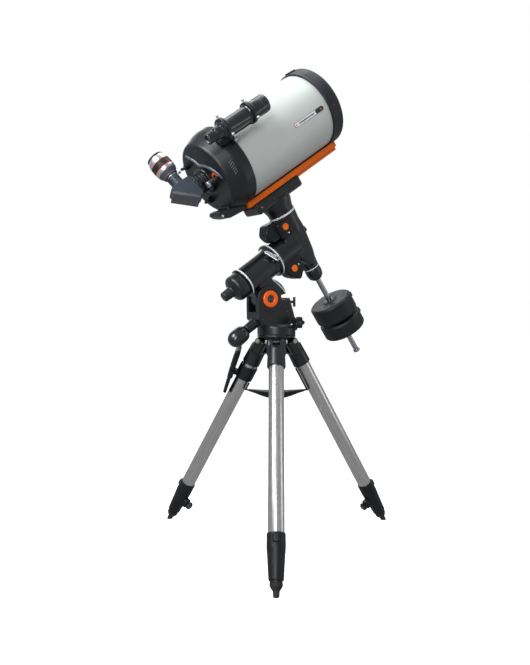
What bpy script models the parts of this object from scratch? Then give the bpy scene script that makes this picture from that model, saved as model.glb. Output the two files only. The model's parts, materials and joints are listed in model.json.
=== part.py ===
"""Schmidt-Cassegrain telescope on a German equatorial mount and a steel field tripod.

Metres, +Z up. The optics look along +X of the polar frame at rest, the floor is z = 0.
"""
import math

import bmesh
import bpy
from mathutils import Matrix, Vector

GAP = 0.0003

# Tripod: leg axes meet the head at the hinge circle and splay outward.
HEAD_TOP = 0.7220
HEAD_RADIUS = 0.0665
HINGE_RADIUS = 0.0558
HINGE_Z = 0.7000
SPLAY = math.radians(30.9)
LEG_AZIMUTHS = {"front": math.radians(-90), "right": math.radians(30), "left": math.radians(150)}
LEG_RADIUS = 0.0254
LEG_WALL = 0.0016
CASTING_END = 0.0945
LEG_TUBE_END = 0.6520
CLAMP_END = 0.7720
LEG_LENGTH = HINGE_Z / math.cos(SPLAY)
EXTENSION_RADIUS = 0.0190
SPREADER_Z = 0.5230
SPREADER_REACH = 0.1303
ROD_RADIUS = 0.0060
ROD_END_Z = 0.1990
HOLDER_TURN = math.radians(32)

# Mount: azimuth of the polar axis, its elevation, and the places along the axes.
AZIMUTH = math.radians(32.0)
LATITUDE = math.radians(34.3)
AXES_FORWARD = 0.0836
AXES_Z = 1.0475
PIVOT_FORWARD = -0.0500
PIVOT_Z = 0.8458
CHEEK_INNER = 0.0240
CHEEK_OUTER = 0.0400
CHEEK_RADIUS = 0.0470
HOUSING_RADIUS = 0.0490
TAIL_S = -0.2658
FLANGE_S = -0.1188
DEC_TOP = 0.1048
DEC_BOTTOM = -0.1124
DEC_RADIUS_TOP = 0.0475
DEC_RADIUS_BOTTOM = 0.0275
BAR_END = -0.4789
BAR_RADIUS = 0.0095
WEIGHT_RADIUS = 0.0780
PIVOT_BEHIND = ((AXES_FORWARD - PIVOT_FORWARD) * math.cos(LATITUDE)
                + (AXES_Z - PIVOT_Z) * math.sin(LATITUDE))
PIVOT_BELOW = ((AXES_Z - PIVOT_Z) * math.cos(LATITUDE)
               - (AXES_FORWARD - PIVOT_FORWARD) * math.sin(LATITUDE))
REAR_SCREW_TILT = math.radians(126)
REAR_SCREW_FOOT = (-0.1205, 0.0, 0.0185)
FRONT_SCREW_HEIGHT = 0.1130

# Optical tube: its axis lies above the crossing of the polar and declination axes.
TUBE_OFFSET = 0.3496
TUBE_RADIUS = 0.1330
TUBE_WALL = 0.0018
RING_RADIUS = 0.1385
TUBE_REAR = -0.0926
TUBE_FRONT = 0.2766
RING_FRONT = 0.3245
CASTING_REAR = -0.1850
PORT_END = -0.2150
FINDER_DISTANCE = 0.1930
FINDER_ANGLE = math.radians(53)
EYEPIECE_TILT = math.radians(-27)
DIAGONAL_S = -0.2720

ALONG_X = (0.0, math.pi / 2, 0.0)
ALONG_Y = (math.pi / 2, 0.0, 0.0)
UPRIGHT = (0.0, 0.0, 0.0)

for leftover in list(bpy.data.objects):
    bpy.data.objects.remove(leftover, do_unlink=True)

PARTS = bpy.data.collections.new("schmidt_cassegrain_telescope")
CUTTERS = bpy.data.collections.new("cutters")
bpy.context.scene.collection.children.link(PARTS)
bpy.context.scene.collection.children.link(CUTTERS)


def look(name, colour, roughness, metallic=0.0):
    """A Principled material with one colour."""
    material = bpy.data.materials.new(name)
    material.use_nodes = True
    shader = material.node_tree.nodes["Principled BSDF"]
    shader.inputs["Base Color"].default_value = (*colour, 1.0)
    shader.inputs["Roughness"].default_value = roughness
    shader.inputs["Metallic"].default_value = metallic
    return material


SATIN_BLACK = look("satin_black", (0.014, 0.016, 0.019), 0.35)
GLOSS_BLACK = look("gloss_black", (0.012, 0.014, 0.018), 0.18)
TEXTURED_BLACK = look("textured_black", (0.022, 0.024, 0.026), 0.6)
CHARCOAL = look("charcoal", (0.045, 0.05, 0.06), 0.5)
PEARL = look("pearl_silver", (0.60, 0.62, 0.58), 0.35, 0.25)
STEEL = look("stainless_steel", (0.58, 0.56, 0.53), 0.28, 1.0)
CHROME = look("chrome", (0.75, 0.76, 0.78), 0.1, 1.0)
SILVER = look("silver_anodised", (0.70, 0.72, 0.74), 0.3, 0.9)
ORANGE = look("orange_anodised", (0.75, 0.14, 0.015), 0.32, 0.3)
SLATE = look("slate_grey", (0.075, 0.095, 0.12), 0.4, 0.3)
GLASS = look("coated_glass", (0.05, 0.07, 0.08), 0.03)
MIRROR = look("mirror_silver", (0.9, 0.9, 0.92), 0.03, 1.0)


def frame(name, parent, location=(0, 0, 0), rotation=(0, 0, 0)):
    """An empty that places the pieces of one moving group, with its origin on the joint's axis."""
    empty = bpy.data.objects.new(name, None)
    empty.parent = parent
    empty.location = location
    empty.rotation_euler = rotation
    empty.empty_display_size = 0.03
    bpy.context.scene.collection.objects.link(empty)
    return empty


def place(ob, parent, location=(0, 0, 0), rotation=(0, 0, 0), material=None, smooth=35):
    """Link a piece under its frame and finish its shading."""
    PARTS.objects.link(ob)
    ob.parent = parent
    ob.location = location
    ob.rotation_euler = rotation
    if material is not None:
        ob.data.materials.append(material)
    if ob.type == "MESH" and smooth:
        ob.data.shade_smooth()
        ob.data.set_sharp_from_angle(angle=math.radians(smooth))
    return ob


def mesh_object(name, bm):
    mesh = bpy.data.meshes.new(name)
    bm.to_mesh(mesh)
    bm.free()
    return bpy.data.objects.new(name, mesh)


def round_edges(ob, width, segments=2):
    bevel = ob.modifiers.new("rounded_edges", "BEVEL")
    bevel.width = width
    bevel.segments = segments
    bevel.limit_method = "ANGLE"
    bevel.angle_limit = math.radians(40)


def block(name, size, parent, location=(0, 0, 0), rotation=(0, 0, 0), material=None,
          bevel=0.0, segments=1):
    """A box of the given size, centred on its location."""
    bm = bmesh.new()
    bmesh.ops.create_cube(bm, size=1.0, matrix=Matrix.Diagonal((*size, 1.0)))
    ob = place(mesh_object(name, bm), parent, location, rotation, material)
    if bevel:
        round_edges(ob, bevel, segments)
    return ob


def rod(name, radius, length, parent, location=(0, 0, 0), rotation=(0, 0, 0), material=None,
        far_radius=None, sides=16, bevel=0.0):
    """A cylinder or cone about its local Z, centred on its location."""
    bm = bmesh.new()
    far = radius if far_radius is None else far_radius
    bmesh.ops.create_cone(bm, cap_ends=True, segments=sides, radius1=radius, radius2=far, depth=length)
    ob = place(mesh_object(name, bm), parent, location, rotation, material)
    if bevel:
        round_edges(ob, bevel)
    return ob


def turned(name, profile, parent, location=(0, 0, 0), rotation=(0, 0, 0), material=None,
           steps=20, ring=False):
    """A turned piece from (radius, height) points, listed down the outer side."""
    mesh = bpy.data.meshes.new(name)
    count = len(profile)
    edges = [(i, i + 1) for i in range(count - 1)]
    if ring:
        edges.append((count - 1, 0))
    mesh.from_pydata([(radius, 0.0, height) for radius, height in profile], edges, [])
    ob = place(bpy.data.objects.new(name, mesh), parent, location, rotation, material, smooth=0)
    screw = ob.modifiers.new("turned", "SCREW")
    screw.angle = 2 * math.pi
    screw.steps = steps
    screw.render_steps = steps
    screw.use_merge_vertices = True
    screw.merge_threshold = 0.00001
    screw.use_smooth_shade = True
    return ob


def outline(name, points, thickness, parent, location=(0, 0, 0), rotation=(0, 0, 0), material=None,
            bevel=0.0, segments=2):
    """A flat outline in local XY, extruded by half its thickness to each side."""
    curve = bpy.data.curves.new(name, "CURVE")
    curve.dimensions = "2D"
    curve.fill_mode = "BOTH"
    curve.extrude = thickness / 2
    spline = curve.splines.new("POLY")
    spline.points.add(len(points) - 1)
    for point, (x, y) in zip(spline.points, points):
        point.co = (x, y, 0.0, 1.0)
    spline.use_cyclic_u = True
    ob = as_mesh(bpy.data.objects.new(name + "_curve", curve), name)
    place(ob, parent, location, rotation, material)
    if bevel:
        round_edges(ob, bevel, segments)
    return ob


def bent_rod(name, points, radius, parent, location=(0, 0, 0), rotation=(0, 0, 0), material=None,
             resolution=2):
    """A round bar along the given points, with closed ends."""
    curve = bpy.data.curves.new(name, "CURVE")
    curve.dimensions = "3D"
    curve.bevel_depth = radius
    curve.bevel_resolution = resolution
    curve.use_fill_caps = True
    spline = curve.splines.new("POLY")
    spline.points.add(len(points) - 1)
    for point, place_on_bar in zip(spline.points, points):
        point.co = (*place_on_bar, 1.0)
    ob = as_mesh(bpy.data.objects.new(name + "_curve", curve), name)
    return place(ob, parent, location, rotation, material)


def as_mesh(curve_object, name):
    """Turn a curve into a mesh object with welded caps, and remove the curve."""
    bpy.context.scene.collection.objects.link(curve_object)
    depsgraph = bpy.context.evaluated_depsgraph_get()
    mesh = bpy.data.meshes.new_from_object(curve_object.evaluated_get(depsgraph))
    bm = bmesh.new()
    bm.from_mesh(mesh)
    bmesh.ops.remove_doubles(bm, verts=bm.verts, dist=0.00001)
    bmesh.ops.recalc_face_normals(bm, faces=bm.faces)
    bm.to_mesh(mesh)
    bm.free()
    mesh.materials.clear()
    ob = bpy.data.objects.new(name, mesh)
    ob.matrix_world = curve_object.matrix_world
    bpy.data.objects.remove(curve_object, do_unlink=True)
    return ob


def helper(ob):
    """Move a Boolean operand out of the parts."""
    PARTS.objects.unlink(ob)
    CUTTERS.objects.link(ob)
    ob.hide_render = True
    ob.display_type = "WIRE"
    return ob


def cut(ob, tool):
    boolean = ob.modifiers.new("cut", "BOOLEAN")
    boolean.operation = "DIFFERENCE"
    boolean.object = helper(tool)


def fuse(ob, tool):
    boolean = ob.modifiers.new("fuse", "BOOLEAN")
    boolean.operation = "UNION"
    boolean.object = helper(tool)


def arc(radius, start, end, count, centre=(0.0, 0.0)):
    """Points on a circle, with both end angles in degrees."""
    angles = [math.radians(start + (end - start) * i / (count - 1)) for i in range(count)]
    return [(centre[0] + radius * math.cos(q), centre[1] + radius * math.sin(q)) for q in angles]


def lobed(radius, depth, lobes, count):
    """The outline of a knob with soft lobes."""
    angles = [2 * math.pi * i / count for i in range(count)]
    return [((radius - depth * (1 - math.cos(lobes * q)) / 2) * math.cos(q),
             (radius - depth * (1 - math.cos(lobes * q)) / 2) * math.sin(q)) for q in angles]


def knob(name, radius, length, parent, location, rotation, material, shaft=0.0, lobes=6):
    """A lobed hand knob about local Z, with a shaft below it when shaft is a length."""
    ob = outline(name, lobed(radius, radius * 0.16, lobes, 4 * lobes), length, parent, location,
                 rotation, material, bevel=0.0018 if radius > 0.018 else 0.0, segments=1)
    if shaft:
        stem = rod(name + "_shaft", radius * 0.27, shaft + length, parent, (0, 0, 0), rotation, sides=12)
        offset = Vector((0, 0, -shaft / 2))
        offset.rotate(ob.rotation_euler)
        stem.location = Vector(location) + offset
        fuse(ob, stem)
    return ob


def build_tripod(root):
    """Head, centre rod, three folding legs and the spreader between them."""
    head = turned("tripod_head", [(0, HEAD_TOP), (HEAD_RADIUS - 0.002, HEAD_TOP),
                                  (HEAD_RADIUS, HEAD_TOP - 0.002), (HEAD_RADIUS, HEAD_TOP - 0.006),
                                  (HEAD_RADIUS - 0.003, HEAD_TOP - 0.008), (0.018, HEAD_TOP - 0.008),
                                  (0.018, 0.668), (0, 0.668)],
                  root, material=SATIN_BLACK, steps=28)
    tongue_outline = (arc(0.0105, -70, 70, 6, (HINGE_RADIUS, HINGE_Z))
                      + [(0.050, HEAD_TOP - 0.007), (0.010, HEAD_TOP - 0.007), (0.010, 0.676)])
    for side_name, azimuth in LEG_AZIMUTHS.items():
        tongue = outline("tongue_" + side_name, tongue_outline, 0.024, root,
                         rotation=(math.pi / 2, 0, azimuth))
        fuse(head, tongue)
    for side_name, azimuth in LEG_AZIMUTHS.items():
        hole = rod("hinge_hole_" + side_name, 0.0064, 0.060, root,
                   (HINGE_RADIUS * math.cos(azimuth), HINGE_RADIUS * math.sin(azimuth), HINGE_Z),
                   (math.pi / 2, 0, azimuth), sides=12)
        cut(head, hole)
    centre_rod = rod("centre_rod", ROD_RADIUS, 0.668 - GAP - ROD_END_Z, root,
                     (0, 0, (0.668 - GAP + ROD_END_Z) / 2), material=STEEL, sides=12)
    fuse(centre_rod, rod("rod_stop", 0.011, 0.006, root, (0, 0, ROD_END_Z + 0.003), sides=12))
    for side_name, azimuth in LEG_AZIMUTHS.items():
        build_leg(root, side_name, azimuth)
    build_spreader(root)


def build_leg(root, side_name, azimuth):
    """One leg in its own frame: local Z runs up the leg, local X faces outward, local Y is the hinge."""
    hinge = frame("leg_hinge_" + side_name, root,
                  (HINGE_RADIUS * math.cos(azimuth), HINGE_RADIUS * math.sin(azimuth), HINGE_Z),
                  (0, -SPLAY, azimuth))
    casting = block("leg_casting_" + side_name, (0.044, 0.066, 0.058), hinge, (-0.006, 0, -0.019),
                    material=GLOSS_BLACK, bevel=0.010, segments=2)
    skirt = rod("skirt_" + side_name, 0.0285, CASTING_END - 0.020, hinge,
                (0, 0, -(CASTING_END + 0.020) / 2), far_radius=0.0315, sides=20)
    fuse(casting, skirt)
    cut(casting, block("fork_slot_" + side_name, (0.080, 0.0246, 0.0540), hinge, (0, 0, -0.0060)))
    cut(casting, rod("socket_" + side_name, LEG_RADIUS + GAP, 0.060, hinge,
                     (0, 0, -0.050 - 0.030), sides=20))
    fuse(casting, rod("bolt_" + side_name, 0.0060, 0.072, hinge, rotation=ALONG_Y, sides=12))

    wall = LEG_RADIUS - LEG_WALL
    turned("leg_tube_" + side_name, [(LEG_RADIUS, -0.052), (LEG_RADIUS, -LEG_TUBE_END),
                                     (wall, -LEG_TUBE_END), (wall, -0.052)],
           hinge, material=STEEL, steps=20, ring=True)

    top = -LEG_TUBE_END + 0.014
    clamp = turned("foot_clamp_" + side_name,
                   [(LEG_RADIUS + GAP, top + 0.002), (0.0285, top), (0.0285, -0.690), (0.0270, -0.700),
                    (0.0225, -CLAMP_END), (EXTENSION_RADIUS + GAP, -CLAMP_END),
                    (EXTENSION_RADIUS + GAP, -LEG_TUBE_END - GAP), (LEG_RADIUS + GAP, -LEG_TUBE_END - GAP)],
                   hinge, material=SATIN_BLACK, steps=20, ring=True)
    lug = block("lug_" + side_name, (0.018, 0.026, 0.030), hinge, (-0.0330, 0, -0.712))
    fuse(clamp, lug)
    cut(clamp, rod("lug_bore_" + side_name, 0.0052, 0.040, hinge, (-0.036, 0, -0.712), ALONG_X, sides=12))
    outer_lug = block("outer_lug_" + side_name, (0.0070, 0.018, 0.022), hinge, (0.0310, 0, -0.655))
    fuse(clamp, outer_lug)

    lock = frame("leg_lock_axis_" + side_name, hinge, (-0.0420, 0, -0.712), (0, -math.pi / 2, 0))
    knob("leg_lock_knob_" + side_name, 0.0150, 0.014, lock, (0, 0, 0.0075), UPRIGHT, SATIN_BLACK,
         shaft=0.016)

    slide = frame("leg_extension_axis_" + side_name, hinge)
    extension = turned("leg_extension_" + side_name,
                       [(0, -0.200), (EXTENSION_RADIUS, -0.200), (EXTENSION_RADIUS, -0.778),
                        (0.0165, -0.788), (0.0095, -0.800), (0.0080, -LEG_LENGTH - 0.006),
                        (0, -LEG_LENGTH - 0.006)],
                       slide, material=TEXTURED_BLACK, steps=20)
    floor_cut = block("floor_cut_" + side_name, (0.2, 0.2, 0.1), root,
                      (LEG_LENGTH * math.sin(SPLAY) * math.cos(azimuth),
                       LEG_LENGTH * math.sin(SPLAY) * math.sin(azimuth), -0.05))
    cut(extension, floor_cut)


def build_spreader(root):
    """Three arms that brace the legs, on a hub that a hand knob holds on the centre rod."""
    slider = frame("spreader_axis", root, (0, 0, SPREADER_Z))
    points = []
    for azimuth in LEG_AZIMUTHS.values():
        along = Vector((math.cos(azimuth), math.sin(azimuth)))
        across = Vector((-math.sin(azimuth), math.cos(azimuth)))
        for forward, sideways in ((0.028, -0.030), (0.085, -0.014), (SPREADER_REACH, -0.010),
                                  (SPREADER_REACH, 0.010), (0.085, 0.014), (0.028, 0.030)):
            points.append(tuple(along * forward + across * sideways))
    spreader = outline("leg_spreader", points, 0.004, slider, material=SATIN_BLACK)
    fuse(spreader, rod("spreader_hub", 0.018, 0.016, slider, (0, 0, -0.007), far_radius=0.026))
    rib = [(0.010, 0.0), (SPREADER_REACH - 0.004, 0.0), (0.100, -0.008), (0.060, -0.0125), (0.010, -0.0145)]
    for side_name, azimuth in LEG_AZIMUTHS.items():
        fuse(spreader, outline("rib_" + side_name, rib, 0.004, slider, rotation=(math.pi / 2, 0, azimuth)))
        foot = Vector((SPREADER_REACH - 0.0046, 0, 0))
        length = 0.028 if side_name == "left" else 0.092
        top = foot + length * Vector((-math.sin(SPLAY), 0, math.cos(SPLAY)))
        stay = [tuple(foot), tuple(top)]
        fuse(spreader, bent_rod("stay_" + side_name, stay, 0.0030, slider, rotation=(0, 0, azimuth)))
    cut(spreader, rod("hub_bore", ROD_RADIUS + GAP, 0.06, slider, sides=12))
    hand = knob("spreader_knob", 0.024, 0.018, slider, (0, 0, -0.0155 - GAP - 0.009), UPRIGHT, SATIN_BLACK)
    cut(hand, rod("knob_bore", ROD_RADIUS + GAP, 0.06, slider, (0, 0, -0.02), sides=12))


def build_hand_control(root):
    """A holder clamped round one leg, and the hand control that lifts out of it."""
    leg = frame("holder_frame", bpy.data.objects["leg_hinge_left"], rotation=(0, 0, HOLDER_TURN))
    holder = turned("hand_control_holder",
                    [(0.0320, -0.1050), (0.0320, -0.1560), (LEG_RADIUS + GAP, -0.1560),
                     (LEG_RADIUS + GAP, -0.1050)], leg, material=SATIN_BLACK, steps=20, ring=True)
    seat = frame("hand_control_axis", leg, (0.0495, 0, -0.1446), (0, math.radians(8), 0))
    fuse(holder, block("holder_neck", (0.0140, 0.030, 0.016), leg, (0.0350, 0, -0.148), bevel=0.002))
    fuse(holder, block("holder_loop", (0.0190, 0.0750, 0.0260), seat, (0, 0, -0.0092 - GAP), bevel=0.002))
    cut(holder, block("loop_opening", (0.0126, 0.0646, 0.080), seat, (0, 0, -0.0200)))
    cut(holder, rod("holder_bore", LEG_RADIUS + GAP, 0.08, leg, (0, 0, -0.130), sides=20))
    control = block("hand_control", (0.0190, 0.0720, 0.0800), seat, (0, 0, 0.0440),
                    material=SATIN_BLACK, bevel=0.005, segments=2)
    fuse(control, block("control_grip", (0.0120, 0.0640, 0.0940), seat, (0, 0, -0.0390), bevel=0.004))


def build_base(azimuth_axis):
    """The yoke that turns on the tripod head, in a frame whose X is the polar axis' heading."""
    floor = GAP
    pivot = (PIVOT_FORWARD, PIVOT_Z - HEAD_TOP)
    base = turned("azimuth_base", [(0, 0.036), (0.060, 0.036), (HEAD_RADIUS - 0.002, 0.031),
                                   (HEAD_RADIUS, 0.028), (HEAD_RADIUS, floor), (0, floor)],
                  azimuth_axis, material=SATIN_BLACK, steps=28)
    post_face = pivot[0] + 0.0722
    yoke = ([(pivot[0] + 0.010, 0.016), (pivot[0] - CHEEK_RADIUS + 0.0010, 0.0540),
             (pivot[0] - CHEEK_RADIUS, pivot[1] - 0.030)]
            + arc(CHEEK_RADIUS, 180, 0, 13, pivot)
            + [(pivot[0] + CHEEK_RADIUS, pivot[1] - 0.003), (post_face, pivot[1] - 0.003),
               (post_face, pivot[1] + 0.004), (post_face + 0.008, pivot[1] + 0.004),
               (0.050, 0.064), (0.062, 0.046), (0.062, 0.016)])
    cheeks = outline("yoke_cheeks", yoke, 2 * CHEEK_OUTER, azimuth_axis, rotation=ALONG_Y)
    fuse(base, cheeks)
    slot_floor = pivot[1] - 0.0445
    cut(base, block("yoke_slot", (0.1160, 2 * CHEEK_INNER, 0.200), azimuth_axis,
                    (pivot[0], 0, slot_floor + 0.100)))
    cut(base, rod("pivot_bore", 0.0145, 0.20, azimuth_axis, (pivot[0], 0, pivot[1]), ALONG_Y))
    cut(base, rod("knob_bore_base", 0.0060, 0.20, azimuth_axis, (0.040, 0, 0.0440), ALONG_Y, sides=12))
    screw_line = Vector((-math.sin(REAR_SCREW_TILT), 0, math.cos(REAR_SCREW_TILT)))
    foot = Vector(REAR_SCREW_FOOT)
    fuse(base, rod("screw_boss", 0.0135, 0.0620, azimuth_axis, foot - 0.0310 * screw_line,
                   (0, -REAR_SCREW_TILT, 0)))
    cut(base, rod("rear_screw_bore", 0.0060, 0.1300, azimuth_axis, foot - 0.0500 * screw_line,
                  (0, -REAR_SCREW_TILT, 0), sides=12))
    cut(base, rod("front_screw_bore", 0.0052, 0.0500, azimuth_axis, (0.0300, 0, FRONT_SCREW_HEIGHT),
                  ALONG_X, sides=12))


def build_azimuth_knobs(azimuth_axis):
    """One hand screw through each side of the base, pushing against the head's peg."""
    for side_name, sign in (("right", -1), ("left", 1)):
        turn = frame("azimuth_knob_axis_" + side_name, azimuth_axis, (0.040, sign * 0.075, 0.0440),
                     (-sign * math.pi / 2, 0, 0))
        knob("azimuth_knob_" + side_name, 0.0200, 0.030, turn, UPRIGHT, UPRIGHT, SATIN_BLACK, shaft=0.045,
             lobes=5)


def build_altitude_group(altitude_axis, polar):
    """Right ascension housing with its latitude lobe, polar port cap and clutch lever."""
    housing = turned("right_ascension_housing",
                     [(0, FLANGE_S), (0.0590, FLANGE_S), (0.0605, FLANGE_S - 0.0015),
                      (0.0605, FLANGE_S - 0.0110), (0.0590, FLANGE_S - 0.0125),
                      (0.0520, FLANGE_S - 0.0160), (HOUSING_RADIUS, FLANGE_S - 0.0320),
                      (HOUSING_RADIUS, TAIL_S + 0.0090), (0.0510, TAIL_S + 0.0080), (0.0510, TAIL_S),
                      (0, TAIL_S)], polar, rotation=ALONG_X, material=GLOSS_BLACK, steps=28)
    below = PIVOT_BELOW
    fairing = [(0, 0)] + arc(0.0700, -19.3, 46, 6) + [(0.0440, below), (-0.0150, below)]
    fuse(housing, outline("latitude_fairing", fairing, 0.0740, altitude_axis, rotation=ALONG_Y))
    for sign in (-1, 1):
        cut(housing, rod("cheek_clearance", CHEEK_RADIUS + 0.0008, 0.040, altitude_axis,
                         (0, sign * (CHEEK_INNER - 0.0004 + 0.020), 0), ALONG_Y, sides=32))
    lobe = arc(0.0420, 140, 345, 12) + [(0.0440, 0.0600), (0.0400, below), (-0.0300, below)]
    fuse(housing, outline("altitude_lobe", lobe, 2 * CHEEK_INNER - 0.0012, altitude_axis,
                          rotation=ALONG_Y))
    cut(housing, rod("lobe_bore", 0.0146, 0.20, altitude_axis, rotation=ALONG_Y))
    cap = frame("polar_cap_axis", polar, (TAIL_S, 0, 0), (0, -math.pi / 2, 0))
    turned("polar_cap", [(0, 0.0850), (0.0170, 0.0840), (0.0185, 0.0540), (0.0220, 0.0490),
                         (0.0400, 0.0400), (0.0455, 0.0330), (0.0455, GAP), (0, GAP)],
           cap, material=SATIN_BLACK, steps=24)
    angle = math.radians(58)
    lean = math.radians(19)
    outward = Vector((0, -math.sin(angle), math.cos(angle)))
    along = Vector((math.sin(lean), -math.cos(angle) * math.cos(lean), -math.sin(angle) * math.cos(lean)))
    pivot = Vector((-0.1480, 0, 0)) + 0.0622 * outward + 0.0250 * along
    turn = Matrix((along, outward.cross(along), outward)).transposed().to_euler()
    lever_axis = frame("ra_clutch_axis", polar, pivot, turn)
    boss = rod("clutch_boss", 0.0080, 0.0240, polar, pivot - outward * 0.0122, turn, sides=16)
    fuse(housing, boss)
    tail = [(-0.0560 + x, y) for x, y in arc(0.0065, 90, 270, 7)]
    hub = arc(0.0095, -100, 100, 11)
    outline("ra_clutch_lever", hub + tail, 0.0070, lever_axis, (0, 0, 0.0037), material=SILVER,
            bevel=0.0015)


def dec_cone(name, parent, grow, top, bottom, steps=28):
    """The declination housing's tapered body, or its clearance when it is grown."""
    slope = (DEC_RADIUS_TOP - DEC_RADIUS_BOTTOM) / (DEC_TOP - DEC_BOTTOM)
    upper = DEC_RADIUS_BOTTOM + slope * (top - DEC_BOTTOM) + grow
    lower = DEC_RADIUS_BOTTOM + slope * (bottom - DEC_BOTTOM) + grow
    return turned(name, [(0, top), (upper, top), (lower, bottom), (0, bottom)], parent, steps=steps)


def build_ra_group(ra):
    """Everything that turns with the polar shaft: declination housing, motors, bar and weights."""
    housing = dec_cone("declination_housing", ra, 0.0, DEC_TOP, DEC_BOTTOM)
    housing.data.materials.append(SATIN_BLACK)
    rotor_length = 0.0965
    rotor_s = FLANGE_S + 0.0015 + rotor_length / 2
    fuse(housing, rod("rotor", 0.0500, rotor_length, ra, (rotor_s, 0, 0), ALONG_X, sides=28))
    upper_case = [(-0.0330, 0.0500), (-0.0330, 0.0950), (-0.0500, 0.1030), (-0.0600, 0.1110),
                  (-0.0935, 0.1158), (-0.1160, 0.0892), (-0.1111, 0.0689), (-0.1000, 0.0500)]
    lump = outline("declination_motor_cover", upper_case, 0.0520, ra, (0, -0.0080, 0), ALONG_Y,
                   material=SATIN_BLACK)
    fuse(lump, block("motor_band", (0.0560, 0.0940, 0.0620), ra, (-0.0430, -0.0010, 0.0730), bevel=0.009))
    lower_case = [(-0.1130, -0.0150), (-0.1165, -0.0461), (-0.1144, -0.0758), (-0.0968, -0.0936),
                  (-0.0806, -0.1055), (-0.0700, -0.0985), (-0.0600, -0.0880), (-0.0450, -0.0880),
                  (-0.0450, -0.0150)]
    lower = outline("ra_motor_cover", lower_case, 0.0530, ra, (0, -0.0165, 0), ALONG_Y,
                    material=SATIN_BLACK, bevel=0.006)
    for cover in (lump, lower):
        cut(cover, rod("rotor_clearance", 0.0504, 0.20, ra, (-0.0900, 0, 0), ALONG_X, sides=28))
        cut(cover, dec_cone("cone_clearance", ra, 0.0004, DEC_TOP + 0.05, DEC_BOTTOM - 0.05))
    turned("declination_end_cap",
           [(0.0265, DEC_BOTTOM - GAP), (0.0285, DEC_BOTTOM - 0.0025), (0.0290, -0.1330), (0.0250, -0.1490),
            (0.0150, -0.1580), (BAR_RADIUS + GAP, -0.1585), (BAR_RADIUS + GAP, DEC_BOTTOM - GAP)],
           ra, material=SATIN_BLACK, ring=True)
    clutch = frame("dec_clutch_axis", ra, (0.0420, 0, 0.0180), ALONG_X)
    knob("dec_clutch_knob", 0.0120, 0.0110, clutch, (0, 0, 0.0062), UPRIGHT, SATIN_BLACK, lobes=5)
    turned("counterweight_bar",
           [(0, DEC_BOTTOM - 0.0006), (BAR_RADIUS, DEC_BOTTOM - 0.0006), (BAR_RADIUS, -0.4680),
            (0, -0.4680)], ra, material=CHROME, steps=16)
    stop = frame("safety_stop_axis", ra)
    turned("safety_stop", [(0, -0.4683), (0.0118, -0.4683), (0.0128, -0.4695), (0.0128, -0.4775),
                           (0.0115, BAR_END), (0, BAR_END)], stop, material=CHROME, steps=16)
    for which, top, bottom in (("upper", -0.2490, -0.3180), ("lower", -0.3240, -0.3820)):
        slide = frame("weight_axis_" + which, ra)
        bore = BAR_RADIUS + GAP
        weight = turned("counterweight_" + which,
                        [(0.0260, top), (0.0270, top - 0.0030), (0.0720, top - 0.0030),
                         (WEIGHT_RADIUS, top - 0.0080), (WEIGHT_RADIUS, bottom + 0.0060),
                         (0.0730, bottom), (bore, bottom), (bore, top)],
                        slide, material=TEXTURED_BLACK, steps=28, ring=True)
        middle = (top + bottom) / 2
        cut(weight, rod("lock_bore", 0.0052, 0.10, slide, (0.0500, 0, middle), ALONG_X, sides=12))
        lock = frame("weight_lock_axis_" + which, slide, (WEIGHT_RADIUS, 0, middle), ALONG_X)
        knob("weight_lock_knob_" + which, 0.0140, 0.0120, lock, (0, 0, 0.0070), UPRIGHT, SATIN_BLACK,
             shaft=0.030)


def build_saddle(dec):
    """The neck and the saddle that hold the dovetail bar, with its two clamp knobs."""
    saddle = turned("saddle", [(0, 0.1700), (0.0560, 0.1700), (0.0550, 0.1500), (0.0470, 0.1250),
                               (0.0465, DEC_TOP + 0.0005), (0, DEC_TOP + 0.0005)],
                    dec, material=SATIN_BLACK, steps=24)
    fuse(saddle, block("saddle_block", (0.2040, 0.1000, 0.0390), dec, (0, 0, 0.1792), bevel=0.006))
    cut(saddle, block("saddle_channel", (0.3000, 0.0726, 0.0300), dec, (0, 0, 0.1870 + 0.0150)))
    for which, along in (("rear", -0.0600), ("front", 0.0600)):
        cut(saddle, rod("saddle_bore", 0.0056, 0.040, dec, (along, 0.0450, 0.1840), ALONG_Y, sides=12))
        axis = frame("saddle_knob_axis_" + which, dec, (along, 0.0620, 0.1840), (-math.pi / 2, 0, 0))
        knob("saddle_knob_" + which, 0.0170, 0.0180, axis, UPRIGHT, UPRIGHT, SATIN_BLACK, shaft=0.014)


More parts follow.
